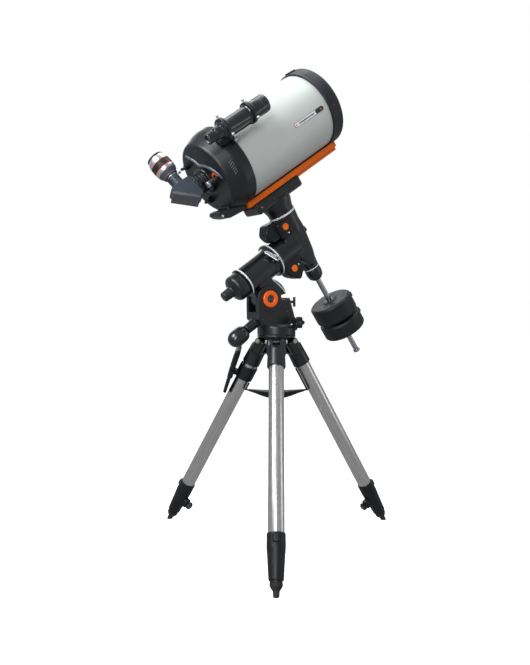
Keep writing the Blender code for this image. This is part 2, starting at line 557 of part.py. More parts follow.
def build_tube(tube):
    """The optical tube assembly, which slides in the saddle on its dovetail bar."""
    bar = block("dovetail_bar", (0.4240, 0.0900, 0.0270), tube, (0.0900, 0, 0.2125 - TUBE_OFFSET),
                material=ORANGE, bevel=0.002)
    fuse(bar, block("dovetail", (0.3900, 0.0720, 0.0160), tube, (0.1050, 0, 0.1953 - TUBE_OFFSET)))
    cut(bar, rod("ring_clearance", RING_RADIUS + 0.0004, 0.60, tube, (0.0900, 0, 0), ALONG_X, sides=48))
    inner = TUBE_RADIUS - TUBE_WALL
    turned("tube", [(TUBE_RADIUS, TUBE_FRONT - GAP), (TUBE_RADIUS, TUBE_REAR), (inner, TUBE_REAR),
                    (inner, TUBE_FRONT - GAP)],
           tube, rotation=ALONG_X, material=PEARL, steps=40, ring=True)
    ring = turned("front_ring",
                  [(0.1220, RING_FRONT), (0.1365, RING_FRONT), (RING_RADIUS, RING_FRONT - 0.0020),
                   (RING_RADIUS, TUBE_FRONT + 0.0020), (RING_RADIUS - 0.0013, TUBE_FRONT),
                   (0.1304, TUBE_FRONT), (0.1304, TUBE_FRONT - 0.0090), (0.1175, TUBE_FRONT - 0.0090),
                   (0.1175, 0.2997), (0.1220, 0.2997)], tube, rotation=ALONG_X, material=CHARCOAL,
                  steps=32, ring=True)
    fuse(ring, block("ring_boss", (0.0300, 0.0300, 0.0080), tube, (0.2990, 0, 0.1385), bevel=0.002))
    turned("corrector_plate", [(0.0330, 0.3060), (0.1208, 0.3060), (0.1208, 0.3000), (0.0330, 0.3000)],
           tube, rotation=ALONG_X, material=GLASS, steps=28, ring=True)
    turned("secondary_cell", [(0, 0.3235), (0.0440, 0.3235), (0.0460, 0.3215), (0.0460, 0.3063),
                              (0.0325, 0.3063), (0.0325, 0.2997), (0.0400, 0.2997), (0.0400, 0.2700),
                              (0, 0.2700)], tube, rotation=ALONG_X, material=SATIN_BLACK, steps=24)
    build_rear(tube)
    build_finder(tube)
    build_diagonal(tube)


def build_rear(tube):
    """Rear casting with its bottom lip, primary mirror, baffle, visual back and its knobs."""
    rear = CASTING_REAR
    casting = turned("rear_casting",
                     [(0.1304, TUBE_REAR + 0.0080), (0.1304, TUBE_REAR - GAP),
                      (RING_RADIUS, TUBE_REAR - GAP), (RING_RADIUS, -0.1270), (0.1368, -0.1370),
                      (0.1222, -0.1790), (0.1180, -0.1838), (0.1140, rear), (0.0262, rear),
                      (0.0262, rear + 0.0080), (0.0900, rear + 0.0080), (0.1120, -0.1700),
                      (0.1240, -0.1550), (0.1275, -0.1250), (0.1275, TUBE_REAR + 0.0080)],
                     tube, rotation=ALONG_X, material=SATIN_BLACK, steps=32, ring=True)
    lip = [(x, z - TUBE_OFFSET) for x, z in (
        (-0.1250, 0.2005), (-0.1980, 0.2090), (-0.2230, 0.2270), (-0.2290, 0.2400), (-0.2230, 0.2480),
        (-0.2110, 0.2480), (-0.1920, 0.2400), (-0.1700, 0.2480), (-0.1400, 0.2400), (-0.1250, 0.2200))]
    fuse(casting, outline("rear_lip", lip, 0.0700, tube, rotation=ALONG_Y))
    cut(casting, rod("mirror_room", 0.1240, 0.0720, tube, (-0.1220, 0, 0), ALONG_X, sides=32))
    turned("baffle_tube", [(0.0220, 0.0300), (0.0235, -0.1500), (0.0235, rear + 0.0133),
                           (0.0380, rear + 0.0133), (0.0380, rear + 0.0083), (0.0205, rear + 0.0083),
                           (0.0205, 0.0300)],
           tube, rotation=ALONG_X, material=TEXTURED_BLACK, steps=16, ring=True)
    turned("visual_back", [(0.0257, rear + 0.0080), (0.0257, rear - GAP), (0.0460, rear - GAP),
                           (0.0460, rear - 0.0140), (0.0330, rear - 0.0160), (0.0330, PORT_END),
                           (0.0195, PORT_END), (0.0195, rear + 0.0080)],
           tube, rotation=ALONG_X, material=SATIN_BLACK, steps=24, ring=True)
    mirror_axis = frame("mirror_axis", tube)
    turned("primary_mirror", [(0.0290, -0.1290), (0.1200, -0.1210), (0.1200, -0.1450), (0.0290, -0.1480)],
           mirror_axis, rotation=ALONG_X, material=MIRROR, steps=28, ring=True)
    focus = frame("focus_axis", tube, (rear, -0.0620, -0.0080), (0, -math.pi / 2, 0))
    turned("focus_knob", [(0, 0.0400), (0.0100, 0.0400), (0.0110, 0.0390), (0.0110, 0.0040),
                          (0.0090, 0.0030), (0.0090, GAP), (0, GAP)],
           focus, material=SATIN_BLACK, steps=16)
    for which, across, up in (("upper", 0.0700, 0.0600), ("lower", 0.0400, -0.0680)):
        axis = frame("mirror_clutch_axis_" + which, tube, (rear, across, up), (0, -math.pi / 2, 0))
        wing = rod("mirror_clutch_" + which, 0.0110, 0.0100, axis, (0, 0, 0.0053), material=SATIN_BLACK)
        fuse(wing, block("wing", (0.0100, 0.0340, 0.0160), axis, (0, 0, 0.0150), bevel=0.002))


def build_finder(tube):
    """The finder scope in its two-ring bracket beside the rear of the tube."""
    outward = Vector((0, -math.sin(FINDER_ANGLE), math.cos(FINDER_ANGLE)))
    finder = frame("finder_axis", tube, FINDER_DISTANCE * outward, (FINDER_ANGLE, 0, 0))
    bracket = block("finder_bracket", (0.1320, 0.0260, 0.0080), finder, (-0.0750, 0, -0.0380),
                    material=SATIN_BLACK)
    foot_height = FINDER_DISTANCE - 0.0380 - RING_RADIUS - 0.0006
    fuse(bracket, block("bracket_foot", (0.0520, 0.0360, foot_height), finder,
                        (-0.1220, 0, -0.0380 - foot_height / 2)))
    for along in (-0.1280, -0.0220):
        fuse(bracket, turned("bracket_ring", [(0.0298, 0.0060), (0.0360, 0.0060),
                                              (0.0360, -0.0060), (0.0298, -0.0060)],
                             finder, (along, 0, 0), ALONG_X, steps=20, ring=True))
    cut(bracket, rod("bracket_bore", 0.0298, 0.20, finder, (-0.0750, 0, 0), ALONG_X, sides=20))
    turned("finder_scope",
           [(0, 0.0330), (0.0255, 0.0330), (0.0265, 0.0450), (0.0290, 0.0450), (0.0290, -0.0300),
            (0.0265, -0.0340), (0.0265, -0.1185), (0.0292, -0.1200), (0.0292, -0.1360),
            (0.0200, -0.1420), (0.0200, -0.1640), (0.0170, -0.1660), (0.0170, -0.1930), (0.0155, -0.1950),
            (0.0120, -0.1950), (0.0100, -0.1900), (0, -0.1900)], finder, rotation=ALONG_X,
           material=GLOSS_BLACK, steps=20)


def build_diagonal(tube):
    """The star diagonal that turns in the visual back, and the eyepiece that slides in it."""
    diagonal_axis = frame("diagonal_axis", tube, (DIAGONAL_S, 0, 0), (EYEPIECE_TILT, 0, 0))
    side_view = [(0.0380, 0.0300), (0.0300, 0.0360), (-0.0300, 0.0360), (-0.0420, 0.0300),
                 (-0.0440, 0.0200), (0.0200, -0.0440), (0.0320, -0.0420), (0.0380, -0.0340)]
    diagonal = outline("star_diagonal", side_view, 0.0540, diagonal_axis, rotation=ALONG_Y,
                       material=SLATE)
    fuse(diagonal, block("mirror_plate", (0.0880, 0.0620, 0.0100), diagonal_axis,
                         (-0.0155, 0, -0.0155), (0, math.radians(45), 0), bevel=0.0015))
    barrel = -DIAGONAL_S - 0.1950
    fuse(diagonal, rod("barrel", 0.0190, barrel, diagonal_axis, (barrel / 2, 0, 0), ALONG_X, sides=20))
    collar_start = DIAGONAL_S + 0.0360
    collar = PORT_END - GAP - collar_start
    fuse(diagonal, rod("collar", 0.0340, collar, diagonal_axis,
                       (collar_start + collar / 2 - DIAGONAL_S, 0, 0), ALONG_X, sides=20))
    fuse(diagonal, rod("eyepiece_holder", 0.0205, 0.0400, diagonal_axis, (0, 0, 0.0530), sides=20))
    cut(diagonal, rod("eyepiece_bore", 0.0158, 0.0600, diagonal_axis, (0, 0, 0.0700), sides=20))
    slide = frame("eyepiece_axis", diagonal_axis)
    turned("eyepiece",
           [(0, 0.1500), (0.0180, 0.1500), (0.0225, 0.1560), (0.0275, 0.1560), (0.0290, 0.1545),
            (0.0290, 0.1500), (0.0335, 0.1390), (0.0355, 0.1290), (0.0355, 0.1030), (0.0330, 0.0900),
            (0.0255, 0.0770), (0.0255, 0.0735), (0.0154, 0.0735), (0.0154, 0.0450), (0, 0.0450)],
           slide, material=SATIN_BLACK, steps=24)


def build_pivot_and_screws(azimuth_axis):
    """The ring and pin of the altitude pivot, and the front and rear altitude screws."""
    pivot = (PIVOT_FORWARD, 0, PIVOT_Z - HEAD_TOP)
    turned("altitude_pivot", [(0, CHEEK_OUTER + 0.0010), (0.0130, CHEEK_OUTER + 0.0010),
                              (0.0135, CHEEK_OUTER + 0.0060), (0.0150, CHEEK_OUTER + 0.0078),
                              (0.0265, CHEEK_OUTER + 0.0078), (0.0285, CHEEK_OUTER + 0.0058),
                              (0.0285, CHEEK_OUTER + GAP),
                              (0.0140, CHEEK_OUTER + GAP), (0.0140, -CHEEK_OUTER - 0.0050),
                              (0, -CHEEK_OUTER - 0.0050)],
           azimuth_axis, pivot, ALONG_Y, ORANGE, steps=20)
    rear = frame("rear_altitude_axis", azimuth_axis, REAR_SCREW_FOOT, (0, -REAR_SCREW_TILT, 0))
    handle = turned("rear_altitude_screw",
                    [(0, 0.0760), (0.0140, 0.0730), (0.0235, 0.0640), (0.0285, 0.0520), (0.0295, 0.0400),
                     (0.0290, 0.0200), (0.0255, 0.0080), (0.0170, 0.0010), (0, 0.0010)],
                    rear, material=SATIN_BLACK, steps=20)
    fuse(handle, rod("rear_shaft", 0.0056, 0.0600, rear, (0, 0, -0.0280), sides=12))
    front = frame("front_altitude_axis", azimuth_axis, (0.0735, 0, FRONT_SCREW_HEIGHT), ALONG_X)
    bar = rod("front_altitude_screw", 0.0048, 0.0480, front, (0, 0, -0.0240), material=SILVER, sides=12)
    fuse(bar, rod("t_bar", 0.0028, 0.0270, front, rotation=ALONG_X, sides=12))


def build():
    root = frame("object_origin", None)
    build_tripod(root)
    build_hand_control(root)
    azimuth_axis = frame("azimuth_axis", root, (0, 0, HEAD_TOP), (0, 0, AZIMUTH))
    build_base(azimuth_axis)
    build_azimuth_knobs(azimuth_axis)
    build_pivot_and_screws(azimuth_axis)
    altitude_axis = frame("altitude_axis", azimuth_axis, (PIVOT_FORWARD, 0, PIVOT_Z - HEAD_TOP),
                          (0, -LATITUDE, 0))
    polar = frame("polar_frame", altitude_axis, (PIVOT_BEHIND, 0, PIVOT_BELOW))
    build_altitude_group(altitude_axis, polar)
    ra = frame("right_ascension_axis", polar)
    build_ra_group(ra)
    dec = frame("declination_axis", ra)
    build_saddle(dec)
    tube = frame("tube_axis", dec, (0, 0, TUBE_OFFSET))
    build_tube(tube)
    stand_on_floor(root)


def stand_on_floor(root):
    """Move the origin frame so that the object's lowest face is centred on the world origin."""
    bpy.context.view_layer.update()
    depsgraph = bpy.context.evaluated_depsgraph_get()
    corners = []
    for ob in PARTS.objects:
        mesh = ob.evaluated_get(depsgraph).data
        corners += [ob.matrix_world @ vertex.co for vertex in mesh.vertices]
    middle_x = (min(c.x for c in corners) + max(c.x for c in corners)) / 2
    middle_y = (min(c.y for c in corners) + max(c.y for c in corners)) / 2
    root.location = (-middle_x, -middle_y, -min(c.z for c in corners))
    bpy.context.view_layer.update()


build()
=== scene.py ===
import json
from math import atan2, cos, pi, radians, sin, sqrt

import bmesh
import bpy
from mathutils import Euler, Matrix, Vector


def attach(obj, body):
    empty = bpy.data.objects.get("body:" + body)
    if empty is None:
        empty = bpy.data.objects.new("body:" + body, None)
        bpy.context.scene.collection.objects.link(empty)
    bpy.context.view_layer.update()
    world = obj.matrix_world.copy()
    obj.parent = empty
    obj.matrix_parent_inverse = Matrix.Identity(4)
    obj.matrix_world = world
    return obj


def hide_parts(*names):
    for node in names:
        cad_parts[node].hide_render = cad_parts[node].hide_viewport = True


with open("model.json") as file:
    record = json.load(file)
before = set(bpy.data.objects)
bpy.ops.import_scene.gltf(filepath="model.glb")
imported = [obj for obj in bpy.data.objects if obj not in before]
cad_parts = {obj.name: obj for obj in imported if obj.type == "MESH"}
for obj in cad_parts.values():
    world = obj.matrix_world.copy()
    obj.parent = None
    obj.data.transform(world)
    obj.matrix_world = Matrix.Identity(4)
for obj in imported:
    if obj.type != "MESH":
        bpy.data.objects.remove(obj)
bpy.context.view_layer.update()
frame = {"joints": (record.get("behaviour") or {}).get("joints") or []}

JOINTS = {joint["name"]: joint for joint in frame["joints"]}
SIDES = ("front", "right", "left")


# ---------------------------------------------------------------- frames

def axes(origin, x, z):
    """A frame with its Z along z and its X as near to x as a right angle allows."""
    z = Vector(z).normalized()
    y = z.cross(Vector(x)).normalized()
    x = y.cross(z)
    matrix = Matrix((x, y, z)).transposed().to_4x4()
    matrix.translation = Vector(origin)
    return matrix


def joint_origin(name):
    return Vector(JOINTS[name]["pos_m"])


def joint_axis(name):
    return Vector(JOINTS[name]["axis"])


def shifted(matrix, x=0.0, y=0.0, z=0.0, rot=(0.0, 0.0, 0.0)):
    """A frame moved and turned inside another frame."""
    return matrix @ Matrix.Translation((x, y, z)) @ Euler(rot).to_matrix().to_4x4()


HALF = pi / 2
ALONG_X = (0.0, HALF, 0.0)
TO_NEAR = (HALF, 0.0, 0.0)
TUBE_OFFSET = 0.3496
FINDER_DISTANCE = 0.193
FINDER_ANGLE = radians(53)
EYEPIECE_TILT = radians(-27)
DIAGONAL_S = -0.272
HOLDER_TURN = radians(32)
SPLAY = radians(30.9)

HEAD_TURN = Matrix.Translation(joint_origin("azimuth_turn"))
POLAR = axes(joint_origin("polar_turn"), joint_axis("polar_turn"), joint_axis("declination_turn"))
TUBE = shifted(POLAR, z=TUBE_OFFSET)
ALTITUDE = axes(joint_origin("altitude_tilt"), joint_axis("polar_turn"), joint_axis("declination_turn"))
AZIMUTH = axes(joint_origin("azimuth_turn"), joint_axis("polar_turn"), (0, 0, 1))
FINDER = TUBE @ Matrix.Rotation(FINDER_ANGLE, 4, "X") @ Matrix.Translation((0, 0, FINDER_DISTANCE))
DIAGONAL = shifted(TUBE, x=DIAGONAL_S, rot=(EYEPIECE_TILT, 0, 0))
LEGS = {}
for s in SIDES:
    up_leg = -joint_axis("leg_length_" + s)
    LEGS[s] = axes(joint_origin("leg_fold_" + s), joint_axis("leg_fold_" + s).cross(up_leg), up_leg)


# ---------------------------------------------------------------- materials

class Nodes:
    """Short calls for building one material's nodes."""

    def __init__(self, name):
        self.material = bpy.data.materials.new(name)
        self.material.use_nodes = True
        self.tree = self.material.node_tree
        self.shader = self.tree.nodes["Principled BSDF"]
        self.coords = self.tree.nodes.new("ShaderNodeTexCoord").outputs["Object"]

    def scaled(self, scale):
        mapping = self.tree.nodes.new("ShaderNodeMapping")
        mapping.inputs["Scale"].default_value = scale
        self.tree.links.new(self.coords, mapping.inputs["Vector"])
        return mapping.outputs["Vector"]

    def noise(self, scale, detail=3.0, stretch=None, roughness=0.55):
        node = self.tree.nodes.new("ShaderNodeTexNoise")
        node.inputs["Scale"].default_value = scale
        node.inputs["Detail"].default_value = detail
        node.inputs["Roughness"].default_value = roughness
        self.tree.links.new(self.scaled(stretch) if stretch else self.coords, node.inputs["Vector"])
        return node.outputs["Fac"]

    def cells(self, scale):
        node = self.tree.nodes.new("ShaderNodeTexVoronoi")
        node.inputs["Scale"].default_value = scale
        self.tree.links.new(self.coords, node.inputs["Vector"])
        return node.outputs["Distance"]

    def wave(self, scale, axis):
        node = self.tree.nodes.new("ShaderNodeTexWave")
        node.bands_direction = axis
        node.inputs["Scale"].default_value = scale
        self.tree.links.new(self.coords, node.inputs["Vector"])
        return node.outputs["Fac"]

    def spread(self, value, low, high, to_low, to_high):
        node = self.tree.nodes.new("ShaderNodeMapRange")
        node.inputs["From Min"].default_value = low
        node.inputs["From Max"].default_value = high
        node.inputs["To Min"].default_value = to_low
        node.inputs["To Max"].default_value = to_high
        self.tree.links.new(value, node.inputs["Value"])
        return node.outputs["Result"]

    def colours(self, value, low, high, start=0.35, end=0.65):
        node = self.tree.nodes.new("ShaderNodeValToRGB")
        node.color_ramp.elements[0].position = start
        node.color_ramp.elements[0].color = (*low, 1.0)
        node.color_ramp.elements[1].position = end
        node.color_ramp.elements[1].color = (*high, 1.0)
        self.tree.links.new(value, node.inputs["Fac"])
        return node.outputs["Color"]

    def mix(self, factor, a, b):
        node = self.tree.nodes.new("ShaderNodeMix")
        node.data_type = "RGBA"
        self.tree.links.new(factor, node.inputs["Factor"])
        self.tree.links.new(a, node.inputs["A"])
        self.tree.links.new(b, node.inputs["B"])
        return node.outputs["Result"]

    def bump(self, height, strength, distance):
        node = self.tree.nodes.new("ShaderNodeBump")
        node.inputs["Strength"].default_value = strength
        node.inputs["Distance"].default_value = distance
        self.tree.links.new(height, node.inputs["Height"])
        if self.shader.inputs["Normal"].is_linked:
            before = self.shader.inputs["Normal"].links[0].from_socket
            self.tree.links.new(before, node.inputs["Normal"])
        self.tree.links.new(node.outputs["Normal"], self.shader.inputs["Normal"])

    def set(self, **values):
        for key, value in values.items():
            self.shader.inputs[key.replace("_", " ")].default_value = value

    def link(self, socket, output):
        self.tree.links.new(output, self.shader.inputs[socket])


def tint(colour, factor):
    return tuple(min(1.0, channel * factor) for channel in colour)


def paint(name, colour, rough=(0.25, 0.35), mottle=0.18, grain=900, bump=0.04, depth=0.0002,
          metallic=0.0, coat=0.0, coat_rough=0.2, specular=0.5):
    """A painted or moulded finish: soft colour variation, uneven gloss and a fine surface grain."""
    n = Nodes(name)
    broad = n.noise(14.0, 4.0)
    n.link("Base Color", n.colours(broad, tint(colour, 1 - mottle), tint(colour, 1 + mottle)))
    n.link("Roughness", n.spread(n.noise(55.0, 5.0), 0.3, 0.7, *rough))
    n.bump(n.noise(grain, 2.0), bump, depth)
    n.set(Metallic=metallic, Coat_Weight=coat, Coat_Roughness=coat_rough, Specular_IOR_Level=specular)
    return n.material


def brushed(name, colour, stretch, rough=(0.22, 0.38), bump=0.08):
    """Metal with fine lines along the direction that stretch keeps coarse."""
    n = Nodes(name)
    lines = n.noise(1.0, 6.0, stretch, 0.7)
    n.link("Base Color", n.colours(lines, tint(colour, 0.84), tint(colour, 1.12)))
    n.link("Roughness", n.spread(lines, 0.3, 0.7, *rough))
    n.bump(lines, bump, 0.0002)
    n.set(Metallic=1.0)
    return n.material


def pearl(name):
    """Pearl silver car paint: flakes under a clear coat."""
    n = Nodes(name)
    flakes = n.cells(2600.0)
    base = n.colours(flakes, (0.5, 0.525, 0.5), (0.6, 0.625, 0.595), 0.1, 0.8)
    broad = n.colours(n.noise(9.0, 3.0), (0.54, 0.565, 0.54), (0.585, 0.61, 0.58))
    n.link("Base Color", n.mix(n.noise(400.0, 2.0), base, broad))
    n.link("Roughness", n.spread(n.noise(40.0, 4.0), 0.3, 0.7, 0.46, 0.54))
    n.bump(n.noise(160.0, 2.0), 0.02, 0.0003)
    n.set(Metallic=0.2, Coat_Weight=0.12, Coat_Roughness=0.3)
    return n.material


def textured(name, colour, scale, strength, rough=(0.42, 0.58), specular=0.5):
    """Paint or plastic with a raised grain."""
    n = Nodes(name)
    broad = n.noise(18.0, 4.0)
    n.link("Base Color", n.colours(broad, tint(colour, 0.8), tint(colour, 1.25)))
    n.link("Roughness", n.spread(n.noise(70.0, 4.0), 0.3, 0.7, *rough))
    n.bump(n.cells(scale), strength, 0.0004)
    n.bump(n.noise(scale * 2.2, 3.0), strength * 0.6, 0.0003)
    n.set(Specular_IOR_Level=specular)
    return n.material


def lined(name, colour, axis, scale, rough=(0.4, 0.5), strength=0.6):
    """A moulded or turned grip with fine ribs across an axis."""
    n = Nodes(name)
    ribs = n.wave(scale, axis)
    # the colour follows the ribs: darker in the troughs and lighter on the crests, painted shade and
    # highlight on the ribbing
    n.link("Base Color", n.colours(ribs, tint(colour, 0.6), tint(colour, 1.2), 0.2, 0.7))
    n.link("Roughness", n.spread(n.noise(90.0, 3.0), 0.3, 0.7, *rough))
    n.bump(ribs, strength, 0.0006)
    return n.material


CREAM = paint("cream_cap", (0.36, 0.35, 0.28), (0.4, 0.52), 0.12, 700, 0.05)
BLACK = paint("satin_black_paint", (0.005, 0.006, 0.0076), (0.3, 0.42), grain=700, bump=0.1, coat=0.25,
    coat_rough=0.25)
GLOSS = paint("gloss_black_paint", (0.004, 0.0055, 0.008), (0.24, 0.34), grain=350, bump=0.03, coat=0.6,
    coat_rough=0.1)
CAST = textured("textured_black_paint", (0.006, 0.0068, 0.0076), 900.0, 0.25, (0.4, 0.55), 0.35)
WEIGHT = textured("weight_black_paint", (0.0085, 0.0095, 0.0105), 650.0, 0.45, (0.42, 0.58), 0.35)
PLASTIC = textured("fine_grain_plastic", (0.0055, 0.0062, 0.0072), 1500.0, 0.12, (0.34, 0.48), 0.35)
RUBBER = textured("soft_rubber", (0.006, 0.006, 0.0065), 1200.0, 0.2, (0.55, 0.7), 0.25)
RING = textured("charcoal_grain", (0.0165, 0.018, 0.022), 700.0, 0.35, (0.42, 0.58), 0.35)
REAR_PAINT = paint("rear_casting_paint", (0.0055, 0.0068, 0.0092), (0.34, 0.46), grain=1100, bump=0.14,
    coat=0.12, coat_rough=0.35)
PEARL = pearl("pearl_silver_paint")
STEEL = brushed("brushed_stainless", (0.66, 0.645, 0.62), (420.0, 420.0, 9.0), (0.2, 0.34))
TURNED_STEEL = brushed("turned_stainless", (0.45, 0.45, 0.45), (30.0, 30.0, 900.0), (0.16, 0.28))
CHROME = brushed("bright_chrome", (0.42, 0.43, 0.45), (60.0, 60.0, 700.0), (0.16, 0.24), 0.02)
SILVER = brushed("satin_silver", (0.74, 0.76, 0.79), (500.0, 500.0, 120.0), (0.26, 0.38), 0.04)
DARK_STEEL = brushed("dark_steel", (0.1, 0.105, 0.11), (200.0, 200.0, 700.0), (0.24, 0.36), 0.04)
BRASS = brushed("dull_brass", (0.56, 0.4, 0.2), (300.0, 300.0, 600.0), (0.24, 0.36), 0.04)
ORANGE = paint("orange_anodised", (0.76, 0.135, 0.01), (0.26, 0.36), 0.08, 1400, 0.05, specular=0.16)
BUTTON = paint("orange_plastic", (0.99, 0.165, 0.006), (0.34, 0.44), 0.04, 900, 0.03, specular=0.18)
ORANGE_GLOSS = paint("orange_gloss", (0.93, 0.115, 0.005), (0.2, 0.28), 0.06, 600, 0.03, coat=0.2,
    coat_rough=0.08)
SLATE = paint("slate_anodised", (0.05, 0.062, 0.082), (0.34, 0.44), 0.08, 1500, 0.08, metallic=0.35)
SLATE_DARK = paint("slate_plate", (0.105, 0.106, 0.118), (0.42, 0.52), 0.08, 1500, 0.08, metallic=0.3)
WHITE_LINE = paint("white_ring_paint", (0.86, 0.88, 0.92), (0.3, 0.4), 0.05, 900, 0.04)
GRIP = lined("ribbed_rubber", (0.008, 0.008, 0.009), "Z", 210.0)
GRIP_X = lined("ribbed_black_metal", (0.01, 0.011, 0.013), "X", 150.0, (0.28, 0.4), 0.5)
BADGE = paint("badge_white", (0.8, 0.82, 0.83), (0.25, 0.32), 0.04, 800, 0.03, coat=0.3)
KEYS = paint("grey_rubber_keys", (0.16, 0.17, 0.18), (0.45, 0.55), 0.08, 1200, 0.1)
DISPLAY = paint("dark_display", (0.012, 0.022, 0.018), (0.06, 0.1), 0.1, 700, 0.01, coat=0.8,
    coat_rough=0.04)
WORN_FOOT = textured("worn_foot_rubber", (0.022, 0.021, 0.02), 500.0, 0.5, (0.6, 0.8), 0.3)
# light bluish grey for the back ridge: a painted highlight on the edge of the ridge
RIDGE_HIGHLIGHT = paint("ridge_painted_highlight", (0.085, 0.095, 0.115), (0.3, 0.4), grain=900, bump=0.08, coat=0.3)
VENT = paint("vent_paint", (0.12, 0.112, 0.112), (0.45, 0.55), grain=900, bump=0.08)


def optical_glass():
    n = Nodes("coated_glass")
    n.link("Base Color", n.colours(n.noise(6.0, 2.0), (0.9, 0.97, 0.95), (0.97, 0.99, 1.0)))
    n.link("Roughness", n.spread(n.noise(30.0, 3.0), 0.3, 0.7, 0.015, 0.03))
    n.set(Transmission_Weight=1.0, IOR=1.12)
    return n.material


def mirror_silver():
    n = Nodes("mirror_silver")
    n.link("Base Color", n.colours(n.noise(12.0, 2.0), (0.86, 0.87, 0.89), (0.93, 0.94, 0.95)))
    n.link("Roughness", n.spread(n.noise(30.0, 3.0), 0.3, 0.7, 0.02, 0.035))
    n.set(Metallic=1.0)
    return n.material


def lens():
    n = Nodes("coated_lens")
    n.link("Base Color", n.colours(n.noise(20.0, 2.0), (0.01, 0.016, 0.04), (0.02, 0.045, 0.06)))
    n.link("Roughness", n.spread(n.noise(30.0, 3.0), 0.3, 0.7, 0.02, 0.04))
    n.set(Coat_Weight=1.0, Coat_Roughness=0.02)
    return n.material


GLASS = optical_glass()
MIRROR = mirror_silver()
LENS = lens()
SHARP_ANGLE = radians(34)


# ---------------------------------------------------------------- mesh tools

def fillet(points, radius, closed=True, steps=3):
    """Rounds the corners of a polyline, keeping its straight runs."""
    out = []
    count = len(points)
    for i, point in enumerate(points):
        if not closed and i in (0, count - 1):
            out.append(tuple(point))
            continue
        p = Vector(point)
        a = Vector(points[i - 1]) - p
        b = Vector(points[(i + 1) % count]) - p
        reach = min(radius, a.length * 0.45, b.length * 0.45)
        if reach < 1e-6 or a.normalized().dot(b.normalized()) < -0.995:
            out.append(tuple(point))
            continue
        start = p + a.normalized() * reach
        end = p + b.normalized() * reach
        for k in range(steps + 1):
            f = k / steps
            out.append(tuple(start * (1 - f) ** 2 + p * 2 * f * (1 - f) + end * f ** 2))
    return out


def arc(radius, start, end, count, centre=(0.0, 0.0)):
    angles = [radians(start + (end - start) * i / (count - 1)) for i in range(count)]
    return [(centre[0] + radius * cos(q), centre[1] + radius * sin(q)) for q in angles]


def lobed(radius, depth, lobes, count):
    ring = []
    for i in range(count):
        q = 2 * pi * i / count
        r = radius - depth * (0.5 - 0.5 * cos(lobes * q)) ** 1.5
        ring.append((r * cos(q), r * sin(q)))
    return ring


def to_mesh(name, bm):
    bmesh.ops.recalc_face_normals(bm, faces=bm.faces)
    mesh = bpy.data.meshes.new(name)
    bm.to_mesh(mesh)
    bm.free()
    return mesh


def turned_bm(profile, steps=96, round_by=0.0006, ring=False):
    """A turned solid about Z. Ends on the axis become single points."""
    points = fillet(profile, round_by, closed=ring) if round_by else list(profile)
    bm = bmesh.new()
    rings = []
    for radius, height in points:
        if radius < 1e-7:
            rings.append([bm.verts.new((0, 0, height))])
            continue
        turn = [2 * pi * i / steps for i in range(steps)]
        rings.append([bm.verts.new((radius * cos(q), radius * sin(q), height)) for q in turn])
    pairs = list(zip(rings, rings[1:])) + ([(rings[-1], rings[0])] if ring else [])
    for low, high in pairs:
        for i in range(steps):
            j = (i + 1) % steps
            if len(low) == 1 and len(high) == 1:
                break
            if len(low) == 1:
                bm.faces.new((low[0], high[j], high[i]))
            elif len(high) == 1:
                bm.faces.new((low[i], low[j], high[0]))
            else:
                bm.faces.new((low[i], low[j], high[j], high[i]))
    return bm


def ring_bm(profile, steps=96, round_by=0.0006):
    """A turned ring: its profile is closed and stays clear of the axis."""
    return turned_bm(profile, steps, round_by, True)


def rim_bm(inner, outer, middle, inner_half, outer_half, steps, round_by):
    """A thin raised ring: its width is given as half of it, where it sits and on its face."""
    return ring_bm([(inner, middle + inner_half), (outer, middle + outer_half),
        (outer, middle - outer_half), (inner, middle - inner_half)], steps, round_by)


def prism_bm(points, thickness, bevel=0.0, segments=3):
    """An outline in XY, extruded by half its thickness each way, with rounded rims."""
    bm = bmesh.new()
    face = bm.faces.new([bm.verts.new((x, y, -thickness / 2)) for x, y in points])
    made = bmesh.ops.extrude_face_region(bm, geom=[face])
    moved = [v for v in made["geom"] if isinstance(v, bmesh.types.BMVert)]
    bmesh.ops.translate(bm, verts=moved, vec=(0, 0, thickness))
    bmesh.ops.recalc_face_normals(bm, faces=bm.faces)
    if bevel:
        rims = [e for e in bm.edges if len(e.link_faces) == 2 and e.calc_face_angle() > 0.9]
        bmesh.ops.bevel(bm, geom=rims, offset=bevel, segments=segments, profile=0.5, affect="EDGES",
            clamp_overlap=True)
    return bm


def box_bm(size, bevel=0.001, segments=3):
    bm = bmesh.new()
    bmesh.ops.create_cube(bm, size=1.0, matrix=Matrix.Diagonal((*size, 1.0)))
    if bevel:
        bmesh.ops.bevel(bm, geom=bm.edges[:], offset=bevel, segments=segments, profile=0.5,
            affect="EDGES", clamp_overlap=True)
    return bm


def drum_bm(radius, length, steps=64, far=None, bevel=0.0006):
    """A cylinder or cone about Z, centred, with softened rims."""
    far = radius if far is None else far
    half = length / 2
    return turned_bm([(0, half), (far, half), (radius, -half), (0, -half)], steps, bevel)


def pipe_bm(points, radius, sides=16):
    """A round bar through points, with closed ends."""
    bm = bmesh.new()
    rings = []
    path = [Vector(p) for p in points]
    normal = None
    for i, point in enumerate(path):
        along = (path[min(i + 1, len(path) - 1)] - path[max(i - 1, 0)]).normalized()
        if normal is None:
            normal = along.orthogonal().normalized()
        normal = (normal - along * normal.dot(along)).normalized()
        across = along.cross(normal)
        rings.append([bm.verts.new(point + radius * (cos(q) * normal + sin(q) * across))
            for q in [2 * pi * k / sides for k in range(sides)]])
    for low, high in zip(rings, rings[1:]):
        for i in range(sides):
            j = (i + 1) % sides
            bm.faces.new((low[i], low[j], high[j], high[i]))
    bm.faces.new(rings[0][::-1])
    bm.faces.new(rings[-1])
    return bm


def moved(bm, x=0.0, y=0.0, z=0.0, rot=(0.0, 0.0, 0.0)):
    bmesh.ops.transform(bm, verts=bm.verts,
        matrix=Matrix.Translation((x, y, z)) @ Euler(rot).to_matrix().to_4x4())
    return bm


def bore(radius, length, steps, *place, **shift):
    """A plain cylinder to cut with."""
    return moved(drum_bm(radius, length, steps, bevel=0), *place, **shift)


